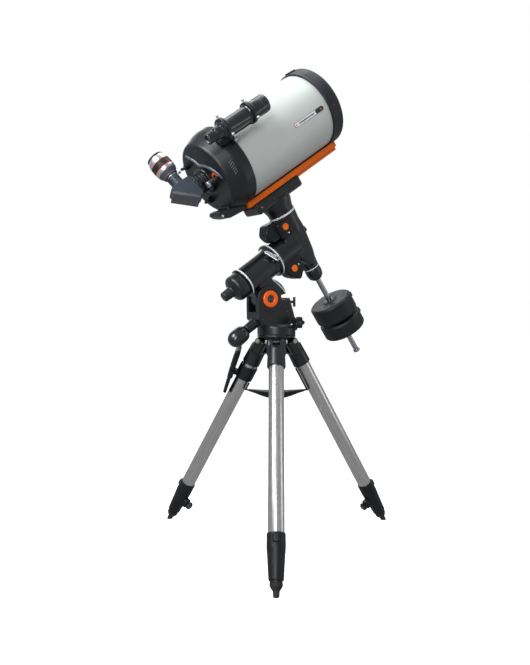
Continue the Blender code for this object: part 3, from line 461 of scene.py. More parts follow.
def joined(*parts):
    """Several meshes as one, without merging their volumes."""
    out = bmesh.new()
    for part in parts:
        mesh = to_mesh("joined", part)
        out.from_mesh(mesh)
        bpy.data.meshes.remove(mesh)
    return out


def new_object(name, bm):
    ob = bpy.data.objects.new(name, to_mesh(name, bm))
    bpy.context.scene.collection.objects.link(ob)
    return ob


def piece(name, bm, where, body, material, replaces=None):
    """Adds a finished piece: placed, shaded, and tied to its CAD body and to the node it replaces."""
    ob = new_object(name, bm)
    ob.matrix_world = where
    ob.data.materials.append(material)
    ob.data.shade_smooth()
    ob.data.set_sharp_from_angle(angle=SHARP_ANGLE)
    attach(ob, body)
    if replaces:
        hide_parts(replaces)


def rider(body, home):
    """piece() for one body, in that body's usual frame."""
    def add(name, bm, material, replaces=None, where=home, slot=None):
        piece(name, bm, where, body, material, replaces)
    return add


on_tripod = rider("tripod", HEAD_TURN)
on_azimuth = rider("azimuth", AZIMUTH)
on_altitude = rider("altitude", ALTITUDE)
on_ra = rider("right_ascension", POLAR)
on_dec = rider("declination", POLAR)
ota = rider("optical_tube", TUBE)


def cut_by(body, tool):
    boolean = body.modifiers.new("machine", "BOOLEAN")
    boolean.operation = "DIFFERENCE"
    boolean.object = tool


def applied_bm(body, tools):
    """The mesh of a body with its modifiers applied; the body and its tools are removed."""
    depsgraph = bpy.context.evaluated_depsgraph_get()
    mesh = bpy.data.meshes.new_from_object(body.evaluated_get(depsgraph))
    bm = bmesh.new()
    bm.from_mesh(mesh)
    for ob in [body] + tools:
        bpy.data.objects.remove(ob, do_unlink=True)
    bpy.data.meshes.remove(mesh)
    return bm


def casting_bm(solids, voxel=0.0014, smooth=6, cutters=()):
    """One cast body from overlapping solids: joined, softened where they meet, then machined."""
    body = new_object("cast", joined(*solids))
    remesh = body.modifiers.new("remesh", "REMESH")
    remesh.mode = "VOXEL"
    remesh.voxel_size = voxel
    soften = body.modifiers.new("soften", "SMOOTH")
    soften.factor = 0.5
    soften.iterations = smooth
    tools = [new_object(f"tool_{i}", cutter) for i, cutter in enumerate(cutters)]
    for tool in tools:
        cut_by(body, tool)
    return applied_bm(body, tools)


def screw_bm(radius, height):
    """A socket-head screw, standing on z = 0."""
    r = radius
    floor_height = height * 0.45
    profile = [(0, floor_height), (r * 0.5, floor_height), (r * 0.55, height), (r * 0.88, height),
        (r, height * 0.8), (r, -0.001), (0, -0.001)]
    return turned_bm(profile, 24, r * 0.08)


def thumb_screw_bm(stem_r, stem, stem_z, head_r, head, head_z, soft=0.0002):
    """A small knurled screw: a stem and a lobed head, each centred at its own height."""
    grip = prism_bm(lobed(head_r, 0.0008, 8, 48), head, 0.0008, 2)
    return joined(moved(drum_bm(stem_r, stem, 24, bevel=soft), z=stem_z), moved(grip, z=head_z))


# ---------------------------------------------------------------- tripod

LEG_R = 0.0254
TUBE_TOP, TUBE_END = -0.052, -0.652
CLAMP_END = -0.772
LEG_LENGTH = 0.7 / cos(SPLAY)
EXT_R, EXT_END = 0.019, -0.779
LOCK_OUT, LOCK_DOWN = -0.042, -0.712
GROUND_HALF = 0.05


def leg_pieces(s):
    where = LEGS[s]
    body = "leg_" + s
    wall = LEG_R - 0.0016
    piece("steel_leg_" + s,
        ring_bm([(LEG_R, TUBE_TOP), (LEG_R, TUBE_END), (wall, TUBE_END), (wall, TUBE_TOP)], 96, 0.0004),
        where, body, STEEL, "leg_tube_" + s)
    head = moved(box_bm((0.044, 0.066, 0.058), 0.012, 5), -0.006, 0, -0.019)
    skirt = moved(drum_bm(0.0315, 0.0745, 72, far=0.0288, bevel=0.002), z=-0.0572)
    casting = casting_bm([head, skirt], 0.0012, 8,
        [moved(box_bm((0.09, 0.0246, 0.054), 0.0), z=-0.006), bore(LEG_R + 0.0003, 0.06, 72, z=-0.08)])
    piece("leg_yoke_" + s, casting, where, body, BLACK, "leg_casting_" + s)
    for side_name, sign in (("a", 1), ("b", -1)):
        piece(f"hinge_bolt_{s}_{side_name}",
            joined(moved(drum_bm(0.0062, 0.04, 40), y=sign * 0.018, rot=(HALF, 0, 0)),
                moved(turned_bm([(0, 0.0044), (0.004, 0.004), (0.0082, 0.0022), (0.0086, 0), (0, 0)],
                    40, 0.0006), y=sign * 0.033, rot=(-sign * HALF, 0, 0))), where, body, CREAM)
    foot_clamp(s, where, body)
    extension(s, where)
    knob_on_leg(s, where)


def foot_clamp(s, where, body):
    top = TUBE_END + 0.014
    shell = ring_bm([(LEG_R + 0.0003, top + 0.002), (0.0276, top + 0.002), (0.0287, top),
        (0.029, -0.68), (0.0272, -0.7), (0.0226, CLAMP_END), (0.0194, CLAMP_END), (0.0194, -0.64),
        (LEG_R + 0.0003, -0.64)], 96, 0.0014)
    lug = moved(box_bm((0.02, 0.025, 0.03), 0.004, 4), -0.032, 0, LOCK_DOWN)
    outer = moved(box_bm((0.008, 0.018, 0.024), 0.003, 4), 0.03, 0, -0.655)
    clamp = casting_bm([shell, lug, outer], 0.0012, 5,
        [bore(0.0052, 0.04, 32, -0.04, 0, LOCK_DOWN, ALONG_X), bore(0.0193, 0.2, 64, z=-0.73),
            bore(LEG_R + 0.0003, 0.03, 64, z=-0.638)])
    piece("foot_sleeve_" + s, clamp, where, body, PLASTIC, "foot_clamp_" + s)


def extension(s, where):
    lowest = -LEG_LENGTH - 0.006
    rod_part = turned_bm([(0, -0.2), (EXT_R, -0.2), (EXT_R, EXT_END), (0, EXT_END)], 72)
    piece("sliding_leg_" + s, rod_part, where, "extension_" + s, CAST, "leg_extension_" + s)
    tip = new_object("tip",
        turned_bm([(0, EXT_END - 0.0002), (0.0195, EXT_END - 0.0002), (0.0198, -0.785),
            (0.0165, -0.792), (0.01, -0.801), (0.0086, lowest), (0, lowest)], 72, 0.0015))
    ground = new_object("ground", box_bm((0.4, 0.4, 2 * GROUND_HALF), 0))
    below_foot = (where @ Vector((0, 0, -LEG_LENGTH))).to_2d().to_3d()
    ground.matrix_world = where.inverted() @ Matrix.Translation(
        below_foot - Vector((0, 0, GROUND_HALF)))
    cut_by(tip, ground)
    piece("foot_tip_" + s, applied_bm(tip, [ground]), where, "extension_" + s, WORN_FOOT)


def knob_on_leg(s, where):
    lock = shifted(where, LOCK_OUT, 0, LOCK_DOWN, (0, -HALF, 0))
    body = "leg_lock_" + s
    grip = prism_bm(lobed(0.015, 0.0032, 3, 72), 0.011, 0.0022, 3)
    piece("lock_knob_" + s, joined(moved(grip, z=0.009), moved(drum_bm(0.008, 0.005, 40), z=0.0022)),
        lock, body, PLASTIC, "leg_lock_knob_" + s)
    piece("lock_screw_" + s,
        joined(moved(drum_bm(0.0042, 0.017, 32), z=-0.008),
            moved(turned_bm([(0, 0.0012), (0.0038, 0.0009), (0.0046, 0), (0, 0)], 32, 0.0003),
                z=0.0145)), lock, body, BRASS)


for side_key in SIDES:
    leg_pieces(side_key)


HINGE_OUT, HINGE_DOWN = 0.0558, -0.022


def leg_angle(s):
    """The direction of a leg, seen from above."""
    out = LEGS[s].to_3x3() @ Vector((1, 0, 0))
    return atan2(out.y, out.x)


def tripod_head():
    """The round head plate with its boss, and one tongue for each leg's hinge."""
    solids = [turned_bm([(0, 0), (0.0645, 0), (0.0665, -0.002), (0.0665, -0.006), (0.0635, -0.008),
        (0.018, -0.008), (0.018, -0.054), (0, -0.054)], 128, 0.001)]
    holes = []
    tongue = arc(0.0105, -70, 70, 16, (HINGE_OUT, HINGE_DOWN)) + [(0.05, -0.007), (0.01, -0.007),
        (0.01, -0.046)]
    for s in SIDES:
        angle = leg_angle(s)
        solids.append(moved(prism_bm(tongue, 0.024, 0.0015, 2), rot=(HALF, 0, angle)))
        holes.append(bore(0.0064, 0.06, 40, HINGE_OUT * cos(angle), HINGE_OUT * sin(angle), HINGE_DOWN,
            (HALF, 0, angle)))
    return casting_bm(solids, 0.0011, 3, holes)


on_tripod("head_casting", tripod_head(), BLACK, "tripod_head")
on_tripod("head_trim_ring", rim_bm(0.0655, 0.0668, -0.0027, 0.0013, 0.0007, 128, 0.0003), DARK_STEEL)
HEAD_TOP = joint_origin("azimuth_turn").z
ROD_R, ROD_LENGTH, ROD_MIDDLE, ROD_COLLAR = 0.006, 0.462, 0.437, 0.208
SPREADER_HEIGHT, NUT_BORE = 0.523, 0.0063
on_tripod("centre_shaft",
    joined(moved(drum_bm(ROD_R, ROD_LENGTH, 40), z=ROD_MIDDLE - HEAD_TOP),
        moved(drum_bm(0.011, 0.006, 40, bevel=0.0012), z=ROD_COLLAR - HEAD_TOP)), TURNED_STEEL,
    "centre_rod")


def spreader():
    """Three arms with raised edges, swept down to the hub, and the stays at their ends."""
    solids = []
    for s in SIDES:
        angle = leg_angle(s)
        plate = [(0.012, -0.03), (0.04, -0.024), (0.085, -0.0125), (0.12, -0.01), (0.1292, -0.007),
            (0.1292, 0.007), (0.12, 0.01), (0.085, 0.0125), (0.04, 0.024), (0.012, 0.03)]
        solids.append(moved(prism_bm(fillet(plate, 0.004), 0.0038, 0.001, 2), rot=(0, 0, angle)))
        rib = [(0.01, 0.0), (0.1262, 0.0), (0.11, -0.006), (0.085, -0.011), (0.06, -0.018),
            (0.03, -0.0235), (0.027, -0.014), (0.01, -0.0143)]
        solids.append(moved(prism_bm(fillet(rib, 0.003), 0.0046, 0.0008, 2), rot=(HALF, 0, angle)))
        length = 0.028 if s == "left" else 0.092
        foot = Vector((0.1257, 0, 0))
        lean = Vector((-sin(SPLAY), 0, cos(SPLAY)))
        solids.append(moved(
            pipe_bm([foot, foot + lean * length * 0.5, foot + lean * length], 0.003, 20),
            rot=(0, 0, angle)))
    solids.append(moved(drum_bm(0.018, 0.016, 64, far=0.026, bevel=0.0015), z=-0.007))
    return casting_bm(solids, 0.0009, 3, [bore(NUT_BORE, 0.08, 32)])


SPREADER = shifted(HEAD_TURN, z=SPREADER_HEIGHT - HEAD_TOP)
piece("spreader_arms", spreader(), SPREADER, "spreader", CAST, "leg_spreader")
piece("spreader_nut",
    casting_bm([moved(prism_bm(lobed(0.024, 0.004, 6, 96), 0.015, 0.003, 3), z=-0.0248),
        moved(drum_bm(0.013, 0.016, 48, bevel=0.001), z=-0.0244)], 0.0009, 4,
        [bore(NUT_BORE, 0.06, 32, z=-0.02)]), SPREADER, "spreader_hub", PLASTIC, "spreader_knob")

# ---------------------------------------------------------------- hand control

HOLDER = LEGS["left"] @ Matrix.Rotation(HOLDER_TURN, 4, "Z")
CONTROL = shifted(HOLDER, 0.0495, 0, -0.1446, (0, radians(8), 0))
piece("control_case",
    casting_bm([moved(box_bm((0.019, 0.072, 0.08), 0.007, 5), z=0.044),
        moved(box_bm((0.012, 0.064, 0.094), 0.005, 5), z=-0.039)], 0.001, 3), CONTROL, "hand_control",
    PLASTIC, "hand_control")
piece("control_display", moved(box_bm((0.001, 0.052, 0.018), 0.0004, 2), 0.0094, 0, 0.064), CONTROL,
    "hand_control", DISPLAY)
for row in range(6):
    for column in range(3):
        upper = row < 3
        piece(f"control_key_{row}_{column}",
            moved(box_bm((0.0022, 0.012, 0.0075), 0.001, 3), 0.0094 if upper else 0.0059,
                (column - 1) * 0.018, (0.043 if upper else 0.014) - row * 0.0145), CONTROL,
            "hand_control", KEYS if row else RUBBER)
loop = moved(box_bm((0.019, 0.075, 0.026), 0.003, 3), z=-0.0095)
loop_opening = moved(box_bm((0.0126, 0.0646, 0.08), 0), z=-0.02)
seat_in_holder = HOLDER.inverted() @ CONTROL
for bm in (loop, loop_opening):
    bmesh.ops.transform(bm, verts=bm.verts, matrix=seat_in_holder)
piece("control_cradle",
    casting_bm([loop, moved(box_bm((0.015, 0.03, 0.0165), 0.003, 3), 0.035, 0, -0.148),
        ring_bm([(0.0322, -0.105), (0.0322, -0.156), (0.0257, -0.156), (0.0257, -0.105)], 96, 0.0015)],
        0.001, 3, [loop_opening, bore(0.0257, 0.08, 64, z=-0.13)]), HOLDER, "leg_left", PLASTIC,
    "hand_control_holder")
for i, height in enumerate((-0.116, -0.145)):
    piece(f"cradle_screw_{i}", moved(screw_bm(0.003, 0.002), 0.0, -0.032, height, (HALF, 0, 0)), HOLDER,
        "leg_left", DARK_STEEL)

# ---------------------------------------------------------------- base

PIVOT_X, PIVOT_H = -0.05, 0.1238
STAR_X, STAR_OUT, STAR_H = 0.04, 0.075, 0.044
FRONT_SCREW_X, FRONT_SCREW_H = 0.0735, 0.113
BUBBLE_AT = (0.035, -0.048, 0.036)
CHEEK_IN, CHEEK_OUT, CHEEK_R = 0.024, 0.04, 0.047
REAR_TILT = radians(126)
post = PIVOT_X + 0.0722
yoke = (
    [(PIVOT_X + 0.01, 0.016), (PIVOT_X - CHEEK_R + 0.001, 0.054), (PIVOT_X - CHEEK_R, PIVOT_H - 0.03)]
    + arc(CHEEK_R, 180, 0, 25, (PIVOT_X, PIVOT_H))
    + [(PIVOT_X + CHEEK_R, PIVOT_H - 0.003), (post, PIVOT_H - 0.003), (post, PIVOT_H + 0.004),
        (post + 0.008, PIVOT_H + 0.004), (0.05, 0.064), (0.062, 0.046), (0.062, 0.016)])
screw_line = Vector((-sin(REAR_TILT), 0, cos(REAR_TILT)))
screw_foot = Vector((-0.1205, 0, 0.0185))
boss_at = screw_foot - 0.031 * screw_line
bore_at = screw_foot - 0.05 * screw_line
base = casting_bm([turned_bm(
    [(0, 0.036), (0.06, 0.036), (0.0645, 0.031), (0.066, 0.028), (0.066, 0.001), (0, 0.001)], 128,
    0.002), moved(prism_bm(yoke, 2 * CHEEK_OUT, 0.002, 2), rot=TO_NEAR),
    moved(drum_bm(0.019, 0.06, 64, far=0.0165, bevel=0.002), *boss_at, (0, -REAR_TILT, 0))], 0.0013, 6,
    [moved(box_bm((0.116, 2 * CHEEK_IN, 0.2), 0), PIVOT_X, 0, PIVOT_H + 0.0555),
        bore(0.0145, 0.2, 64, PIVOT_X, 0, PIVOT_H, TO_NEAR),
        bore(0.006, 0.2, 32, STAR_X, 0, STAR_H, TO_NEAR),
        bore(0.006, 0.13, 32, *bore_at, (0, -REAR_TILT, 0)),
        bore(0.0052, 0.05, 32, 0.03, 0, FRONT_SCREW_H, ALONG_X)])
on_azimuth("mount_base", base, BLACK, "azimuth_base")
on_azimuth("base_trim_line",
    ring_bm([(0.0657, 0.0018), (0.0664, 0.0012), (0.0664, 0.0004), (0.0657, 0.0004)], 128, 0.0002),
    DARK_STEEL)
for i, (x, z) in enumerate(((-0.08, 0.056), (-0.03, 0.052), (0.02, 0.08), (0.048, 0.03))):
    for side_name, sign in (("near", -1), ("far", 1)):
        on_azimuth(f"yoke_screw_{i}_{side_name}",
            moved(screw_bm(0.0034, 0.0022), x, sign * 0.0398, z, (-sign * HALF, 0, 0)), DARK_STEEL)
on_azimuth("level_bubble_cell",
    moved(turned_bm([(0, 0.003), (0.008, 0.003), (0.009, 0.0022), (0.009, -0.001), (0, -0.001)], 48),
        *BUBBLE_AT), SILVER)
on_azimuth("level_bubble_glass",
    moved(turned_bm([(0, 0.004), (0.004, 0.0036), (0.0062, 0.0026), (0.0062, 0.002), (0, 0.002)], 48),
        *BUBBLE_AT), LENS)

NEAR_PIVOT = shifted(AZIMUTH, PIVOT_X, 0, PIVOT_H, TO_NEAR)
ring_profile = [(0.013, CHEEK_OUT + 0.0004), (0.0285, CHEEK_OUT + 0.0004), (0.0285, CHEEK_OUT + 0.0056),
    (0.0262, CHEEK_OUT + 0.0078), (0.0152, CHEEK_OUT + 0.0078), (0.013, CHEEK_OUT + 0.0056)]
on_azimuth("cheek_boss",
    ring_bm([(0.029, CHEEK_OUT - 0.0004), (0.0452, CHEEK_OUT - 0.0004), (0.0446, CHEEK_OUT + 0.0008),
        (0.043, CHEEK_OUT + 0.0013), (0.029, CHEEK_OUT + 0.0013)], 96, 0.0005), BLACK, where=NEAR_PIVOT)
on_azimuth("pivot_ring", ring_bm(ring_profile, 96, 0.0012), ORANGE_GLOSS, "altitude_pivot",
    where=NEAR_PIVOT)
on_azimuth("pivot_pin",
    turned_bm([(0, CHEEK_OUT + 0.0012), (0.006, CHEEK_OUT + 0.0012), (0.007, CHEEK_OUT + 0.003),
        (0.0128, CHEEK_OUT + 0.003), (0.0128, CHEEK_OUT + 0.0004), (0.0138, CHEEK_OUT), (0.0138, -0.04),
        (0.0124, -0.045), (0, -0.045)], 72, 0.0008), DARK_STEEL, where=NEAR_PIVOT)

for side_name, sign in (("right", -1), ("left", 1)):
    turn = shifted(AZIMUTH, STAR_X, sign * STAR_OUT, STAR_H, (-sign * HALF, 0, 0))
    body = "azimuth_screw_" + side_name
    piece("azimuth_star_" + side_name,
        casting_bm([prism_bm(lobed(0.02, 0.0058, 5, 100), 0.026, 0.004, 4),
            moved(drum_bm(0.0118, 0.018, 48, far=0.014, bevel=0.001), z=-0.006)], 0.0009, 3), turn,
        body, PLASTIC, "azimuth_knob_" + side_name)
    piece("azimuth_stem_" + side_name, moved(drum_bm(0.0053, 0.06, 32), z=-0.028), turn, body,
        TURNED_STEEL)
    piece("azimuth_insert_" + side_name,
        moved(turned_bm([(0, 0.0012), (0.0046, 0.001), (0.0052, 0), (0, 0)], 40, 0.0003), z=0.0127),
        turn, body, DARK_STEEL)

REAR_SCREW = shifted(AZIMUTH, *screw_foot, (0, -REAR_TILT, 0))
piece("rear_handle",
    turned_bm([(0, 0.076), (0.014, 0.073), (0.0235, 0.064), (0.0285, 0.052), (0.0295, 0.04),
        (0.029, 0.02), (0.0255, 0.008), (0.017, 0.001), (0, 0.001)], 96, 0.005), REAR_SCREW,
    "rear_screw", GLOSS, "rear_altitude_screw")
piece("rear_handle_stem", moved(drum_bm(0.0056, 0.06, 32), z=-0.028), REAR_SCREW, "rear_screw",
    TURNED_STEEL)
FRONT_SCREW = shifted(AZIMUTH, FRONT_SCREW_X, 0, FRONT_SCREW_H, ALONG_X)
piece("front_screw_shaft", moved(drum_bm(0.0048, 0.048, 40), z=-0.024), FRONT_SCREW, "front_screw",
    BLACK, "front_altitude_screw")
piece("front_screw_bar", moved(drum_bm(0.0046, 0.034, 32, bevel=0.0014), rot=ALONG_X), FRONT_SCREW,
    "front_screw", BLACK)

# ---------------------------------------------------------------- right ascension housing

FLANGE, TAIL, HOUSING_R, CIRCLE_R = -0.1188, -0.2658, 0.049, 0.0609
PIVOT_IN_POLAR = ALTITUDE.inverted() @ POLAR.translation
BEHIND, BELOW = PIVOT_IN_POLAR.x, PIVOT_IN_POLAR.z
POLAR_X = shifted(POLAR, rot=ALONG_X)


def polar_in_altitude(bm):
    """A turned solid about the polar axis, given in the altitude frame."""
    return moved(bm, BEHIND, 0, BELOW, ALONG_X)


fairing = [(0, 0)] + arc(0.07, -19.3, 46, 20) + [(0.044, BELOW), (-0.015, BELOW)]
lobe = arc(0.042, 140, 345, 40) + [(0.044, 0.06), (0.04, BELOW), (-0.03, BELOW)]
clutch_round, clutch_lean = radians(58), radians(19)
clutch_out = Vector((0, -sin(clutch_round), cos(clutch_round)))
clutch_along = Vector(
    (sin(clutch_lean), -cos(clutch_round) * cos(clutch_lean), -sin(clutch_round) * cos(clutch_lean)))
clutch_at = Vector((-0.148, 0, 0)) + 0.0622 * clutch_out + 0.025 * clutch_along
CLUTCH_TURN = Matrix((clutch_along, clutch_out.cross(clutch_along), clutch_out)).transposed().to_4x4()
boss = drum_bm(0.008, 0.024, 40, bevel=0.001)
bmesh.ops.transform(boss, verts=boss.verts,
    matrix=Matrix.Translation(clutch_at - clutch_out * 0.0122 + Vector((BEHIND, 0, BELOW)))
    @ CLUTCH_TURN)
cheek_cuts = [bore(CHEEK_R + 0.0008, 0.04, 96, 0, sign * (CHEEK_IN - 0.0004 + 0.02), 0, TO_NEAR)
    for sign in (-1, 1)]
housing = casting_bm([polar_in_altitude(turned_bm([(0, FLANGE), (0.0588, FLANGE),
    (0.0588, FLANGE - 0.012), (0.0515, FLANGE - 0.0165), (HOUSING_R, FLANGE - 0.032),
    (HOUSING_R, TAIL + 0.009), (0.0508, TAIL + 0.008), (0.0508, TAIL), (0, TAIL)], 128, 0.001)),
    moved(prism_bm(fairing, 0.074, 0.003, 3), rot=TO_NEAR),
    moved(prism_bm(lobe, 2 * CHEEK_IN - 0.0012, 0.001, 2), rot=TO_NEAR), boss], 0.0013, 5,
    cheek_cuts + [bore(0.0146, 0.2, 64, rot=TO_NEAR)])
on_altitude("polar_housing", housing, GLOSS, "right_ascension_housing")
on_altitude("polar_flange",
    ring_bm([(0.056, FLANGE - 0.0002), (0.059, FLANGE - 0.0002), (0.0604, FLANGE - 0.0014),
        (0.0604, FLANGE - 0.011), (0.059, FLANGE - 0.0124), (0.056, FLANGE - 0.0124)], 144, 0.0006),
    BLACK, where=POLAR_X, slot="gloss_black")
on_altitude("setting_circle", rim_bm(0.059, CIRCLE_R, FLANGE - 0.0058, 0.0028, 0.0024, 144, 0.0003),
    WHITE_LINE, where=POLAR_X)
tick_parts = [moved(box_bm((0.0034 if i % 3 else 0.0048, 0.0007, 0.0003), 0), FLANGE - 0.0058,
    -sin(q) * CIRCLE_R, cos(q) * CIRCLE_R, (q, 0, 0))
    for i, q in enumerate([radians(5 * k) for k in range(72)])]
on_altitude("setting_circle_marks", joined(*tick_parts), RUBBER, where=POLAR, slot="gloss_black")
on_altitude("tail_ring", rim_bm(0.05, 0.0515, TAIL + 0.0056, 0.0026, 0.002, 128, 0.0005), WHITE_LINE,
    where=POLAR_X)
CLUTCH = POLAR @ Matrix.Translation(clutch_at) @ CLUTCH_TURN
lever_tail = [(-0.042 + x, y) for x, y in arc(0.0058, 90, 270, 16)]
lever_hub = arc(0.0095, -100, 100, 28)
piece("clutch_lever", moved(prism_bm(lever_hub + lever_tail, 0.007, 0.0022, 4), z=0.0037), CLUTCH,
    "ra_clutch", SILVER, "ra_clutch_lever")
piece("clutch_lever_screw", moved(screw_bm(0.0042, 0.0018), z=0.0072), CLUTCH, "ra_clutch", DARK_STEEL)

# the latitude scales: a tapered arc on each side of the fairing
SCALE_R, SCALE_LOW, SCALE_HIGH, SCALE_STEPS = 0.069, -15, 46, 40
MARK_R, SCALE_OUT = 0.064, 0.0373


def scale_inner(i):
    """A point of the scale's inner edge; the scale is widest in its middle."""
    f = i / (SCALE_STEPS - 1)
    r = SCALE_R - 0.0105 * sin(pi * (0.12 + 0.76 * f))
    q = radians(SCALE_HIGH - (SCALE_HIGH - SCALE_LOW) * f)
    return r * cos(q), r * sin(q)


outer_arc = arc(SCALE_R, SCALE_LOW, SCALE_HIGH, SCALE_STEPS)
inner_arc = [scale_inner(i) for i in range(SCALE_STEPS)]
face_arc = ([(x * 0.974, z * 0.974) for x, z in outer_arc[2:-2]]
    + [(x * 1.03, z * 1.03) for x, z in inner_arc[2:-2]])
for side_name, sign in (("near", -1), ("far", 1)):
    on_altitude("latitude_rim_" + side_name,
        moved(prism_bm(outer_arc + inner_arc, 0.001, 0.0002, 1), 0, sign * SCALE_OUT, 0, TO_NEAR),
        WHITE_LINE)
    on_altitude("latitude_scale_" + side_name,
        moved(prism_bm(face_arc, 0.001, 0.0002, 1), 0, sign * (SCALE_OUT + 0.0004), 0, TO_NEAR), BLACK,
        slot="silver_anodised")
    marks = [moved(box_bm((0.005 if i % 2 else 0.0072, 0.0004, 0.0007), 0), MARK_R * cos(q),
        sign * (SCALE_OUT + 0.0008), MARK_R * sin(q), (0, -q, 0))
        for i, q in enumerate([radians(-8 + 4 * k) for k in range(13)])]
    on_altitude("latitude_marks_" + side_name, joined(*marks), WHITE_LINE, slot="gloss_black")

POLAR_CAP = shifted(POLAR, x=TAIL, rot=(0, -HALF, 0))
piece("polar_port",
    turned_bm([(0, 0.085), (0.014, 0.085), (0.0172, 0.082), (0.0185, 0.056), (0.0192, 0.05),
        (0.024, 0.047), (0.0395, 0.0402), (0.044, 0.035), (0.0455, 0.03), (0.0455, 0.0003),
        (0, 0.0003)], 128, 0.0024), POLAR_CAP, "polar_port", BLACK, "polar_cap")
for i, height in enumerate((0.0085, 0.025)):
    piece(f"polar_port_line_{i}", rim_bm(0.045, 0.0456, height, 0.001, 0.0006, 128, 0.0002), POLAR_CAP,
        "polar_port", DARK_STEEL if i == 0 else RUBBER)
DASH_R = 0.0454
dashes = [moved(box_bm((0.0006, 0.0016, 0.006), 0.0001, 1), DASH_R * cos(q), DASH_R * sin(q), 0.0165,
    (0, 0, q)) for q in [radians(12 * k) for k in range(30)]]
piece("polar_port_marks", joined(*dashes), POLAR_CAP, "polar_port", DARK_STEEL)
piece("polar_port_end",
    moved(turned_bm([(0, 0.0012), (0.012, 0.001), (0.0132, 0), (0, 0)], 72, 0.0004), z=0.0838),
    POLAR_CAP, "polar_port", GLOSS)

# ---------------------------------------------------------------- declination group

DEC_TOP, DEC_BOTTOM, DEC_R1, DEC_R0 = 0.1048, -0.1124, 0.0475, 0.0275


def cone_radius(height):
    return DEC_R0 + (DEC_R1 - DEC_R0) * (height - DEC_BOTTOM) / (DEC_TOP - DEC_BOTTOM)


cone = turned_bm([(0, DEC_TOP), (DEC_R1, DEC_TOP), (DEC_R0, DEC_BOTTOM), (0, DEC_BOTTOM)], 128, 0.0008)
rotor = moved(drum_bm(0.05, 0.0965, 128, bevel=0.002), FLANGE + 0.0015 + 0.0965 / 2, 0, 0, ALONG_X)
shoulder_side = [(-0.0455, 0.103), (0.03, 0.103), (0.034, 0.04), (0.022, -0.05), (0.008, -0.095),
    (-0.018, -0.095), (-0.04, -0.056), (-0.056, -0.028), (-0.064, 0.0), (-0.064, 0.04), (-0.05, 0.068)]
shoulder = moved(prism_bm(fillet(shoulder_side, 0.012, True, 5), 0.081, 0.02, 6), rot=TO_NEAR)
on_ra("dec_housing", casting_bm([cone, rotor, shoulder], 0.0013, 6), BLACK, "declination_housing")
low, high = -0.1116, -0.1086
on_ra("dec_ring_bottom",
    ring_bm([(cone_radius(low) - 0.001, low), (cone_radius(low) + 0.0007, low),
        (cone_radius(high) + 0.0007, high), (cone_radius(high) - 0.001, high)], 128, 0.0004),
    WHITE_LINE)
on_ra("rotor_ring", rim_bm(0.0494, 0.0504, FLANGE + 0.0065, 0.0025, 0.0021, 144, 0.0004), DARK_STEEL,
    where=POLAR_X, slot="silver_anodised")


def rotor_clear():
    return bore(0.0504, 0.2, 128, -0.09, 0, 0, ALONG_X)


def cone_clear():
    low, high = DEC_BOTTOM - 0.05, DEC_TOP + 0.05
    return turned_bm(
        [(0, high), (cone_radius(high) + 0.0004, high), (cone_radius(low) + 0.0004, low), (0, low)],
        128, 0)


UPPER_CASE = [(-0.033, 0.05), (-0.033, 0.095), (-0.05, 0.103), (-0.06, 0.111), (-0.0935, 0.1158),
    (-0.116, 0.0892), (-0.1111, 0.0689), (-0.1, 0.05)]
LOWER_CASE = [(-0.113, -0.015), (-0.1165, -0.0461), (-0.1144, -0.0758), (-0.0968, -0.0936),
    (-0.0806, -0.1055), (-0.07, -0.0985), (-0.06, -0.088), (-0.045, -0.088), (-0.045, -0.015)]
on_ra("dec_motor_case",
    casting_bm([
        moved(prism_bm(fillet(UPPER_CASE, 0.009, True, 5), 0.052, 0.006, 4), y=-0.008, rot=TO_NEAR),
        moved(box_bm((0.056, 0.094, 0.062), 0.01, 6), -0.043, -0.001, 0.073)], 0.0012, 4,
        [rotor_clear(), cone_clear()]), PLASTIC, "declination_motor_cover")
for k in range(5):
    on_ra(f"dec_motor_rib_{k}",
        moved(box_bm((0.02, 0.0016, 0.003), 0.0006, 2), -0.093, -0.0344, 0.07 + 0.0075 * k), PLASTIC)
on_ra("ra_motor_case",
    casting_bm(
        [moved(prism_bm(fillet(LOWER_CASE, 0.01, True, 5), 0.053, 0.006, 4), y=-0.0165, rot=TO_NEAR)],
        0.0012, 4, [rotor_clear(), cone_clear()]), PLASTIC, "ra_motor_cover")
for name, x, y, z in (("upper", -0.04, -0.0478, 0.0786), ("lower", -0.0848, -0.0428, -0.0598)):
    at = shifted(POLAR, x, y, z, TO_NEAR)
    on_ra("button_rim_" + name,
        turned_bm([(0, 0.0006), (0.0142, 0.0006), (0.015, -0.0002), (0.015, -0.002), (0, -0.002)], 72,
            0.0004), BLACK, where=at, slot="black_plastic")
    on_ra("orange_button_" + name,
        turned_bm([(0, 0.0021), (0.0085, 0.002), (0.0112, 0.0012), (0.0118, 0.0002), (0, 0.0002)], 72,
            0.0006), BUTTON, where=at)
for i, (x, y, z) in enumerate(((-0.0402, -0.0478, 0.0555), (-0.064, -0.0428, -0.056))):
    on_ra(f"motor_screw_{i}", screw_bm(0.0032, 0.0022), SILVER, where=shifted(POLAR, x, y, z, TO_NEAR))
on_ra("dec_end_cap",
    ring_bm([(0.0268, DEC_BOTTOM - 0.0003), (0.0285, DEC_BOTTOM - 0.0025), (0.029, -0.133),
        (0.0255, -0.148), (0.016, -0.1575), (0.0098, -0.1585), (0.0098, DEC_BOTTOM - 0.0003)], 96,
        0.002), BLACK, "declination_end_cap")
on_ra("weight_bar", turned_bm([(0, -0.15), (0.0095, -0.15), (0.0095, -0.468), (0, -0.468)], 72, 0.0004),
    CHROME, "counterweight_bar")
piece("bar_end_stop",
    turned_bm([(0, -0.4683), (0.0118, -0.4683), (0.0128, -0.4695), (0.0128, -0.4775), (0.0115, -0.4789),
        (0, -0.4789)], 72, 0.0008), POLAR, "bar_stop", CHROME, "safety_stop")
DEC_CLUTCH = shifted(POLAR, 0.042, 0, 0.018, ALONG_X)
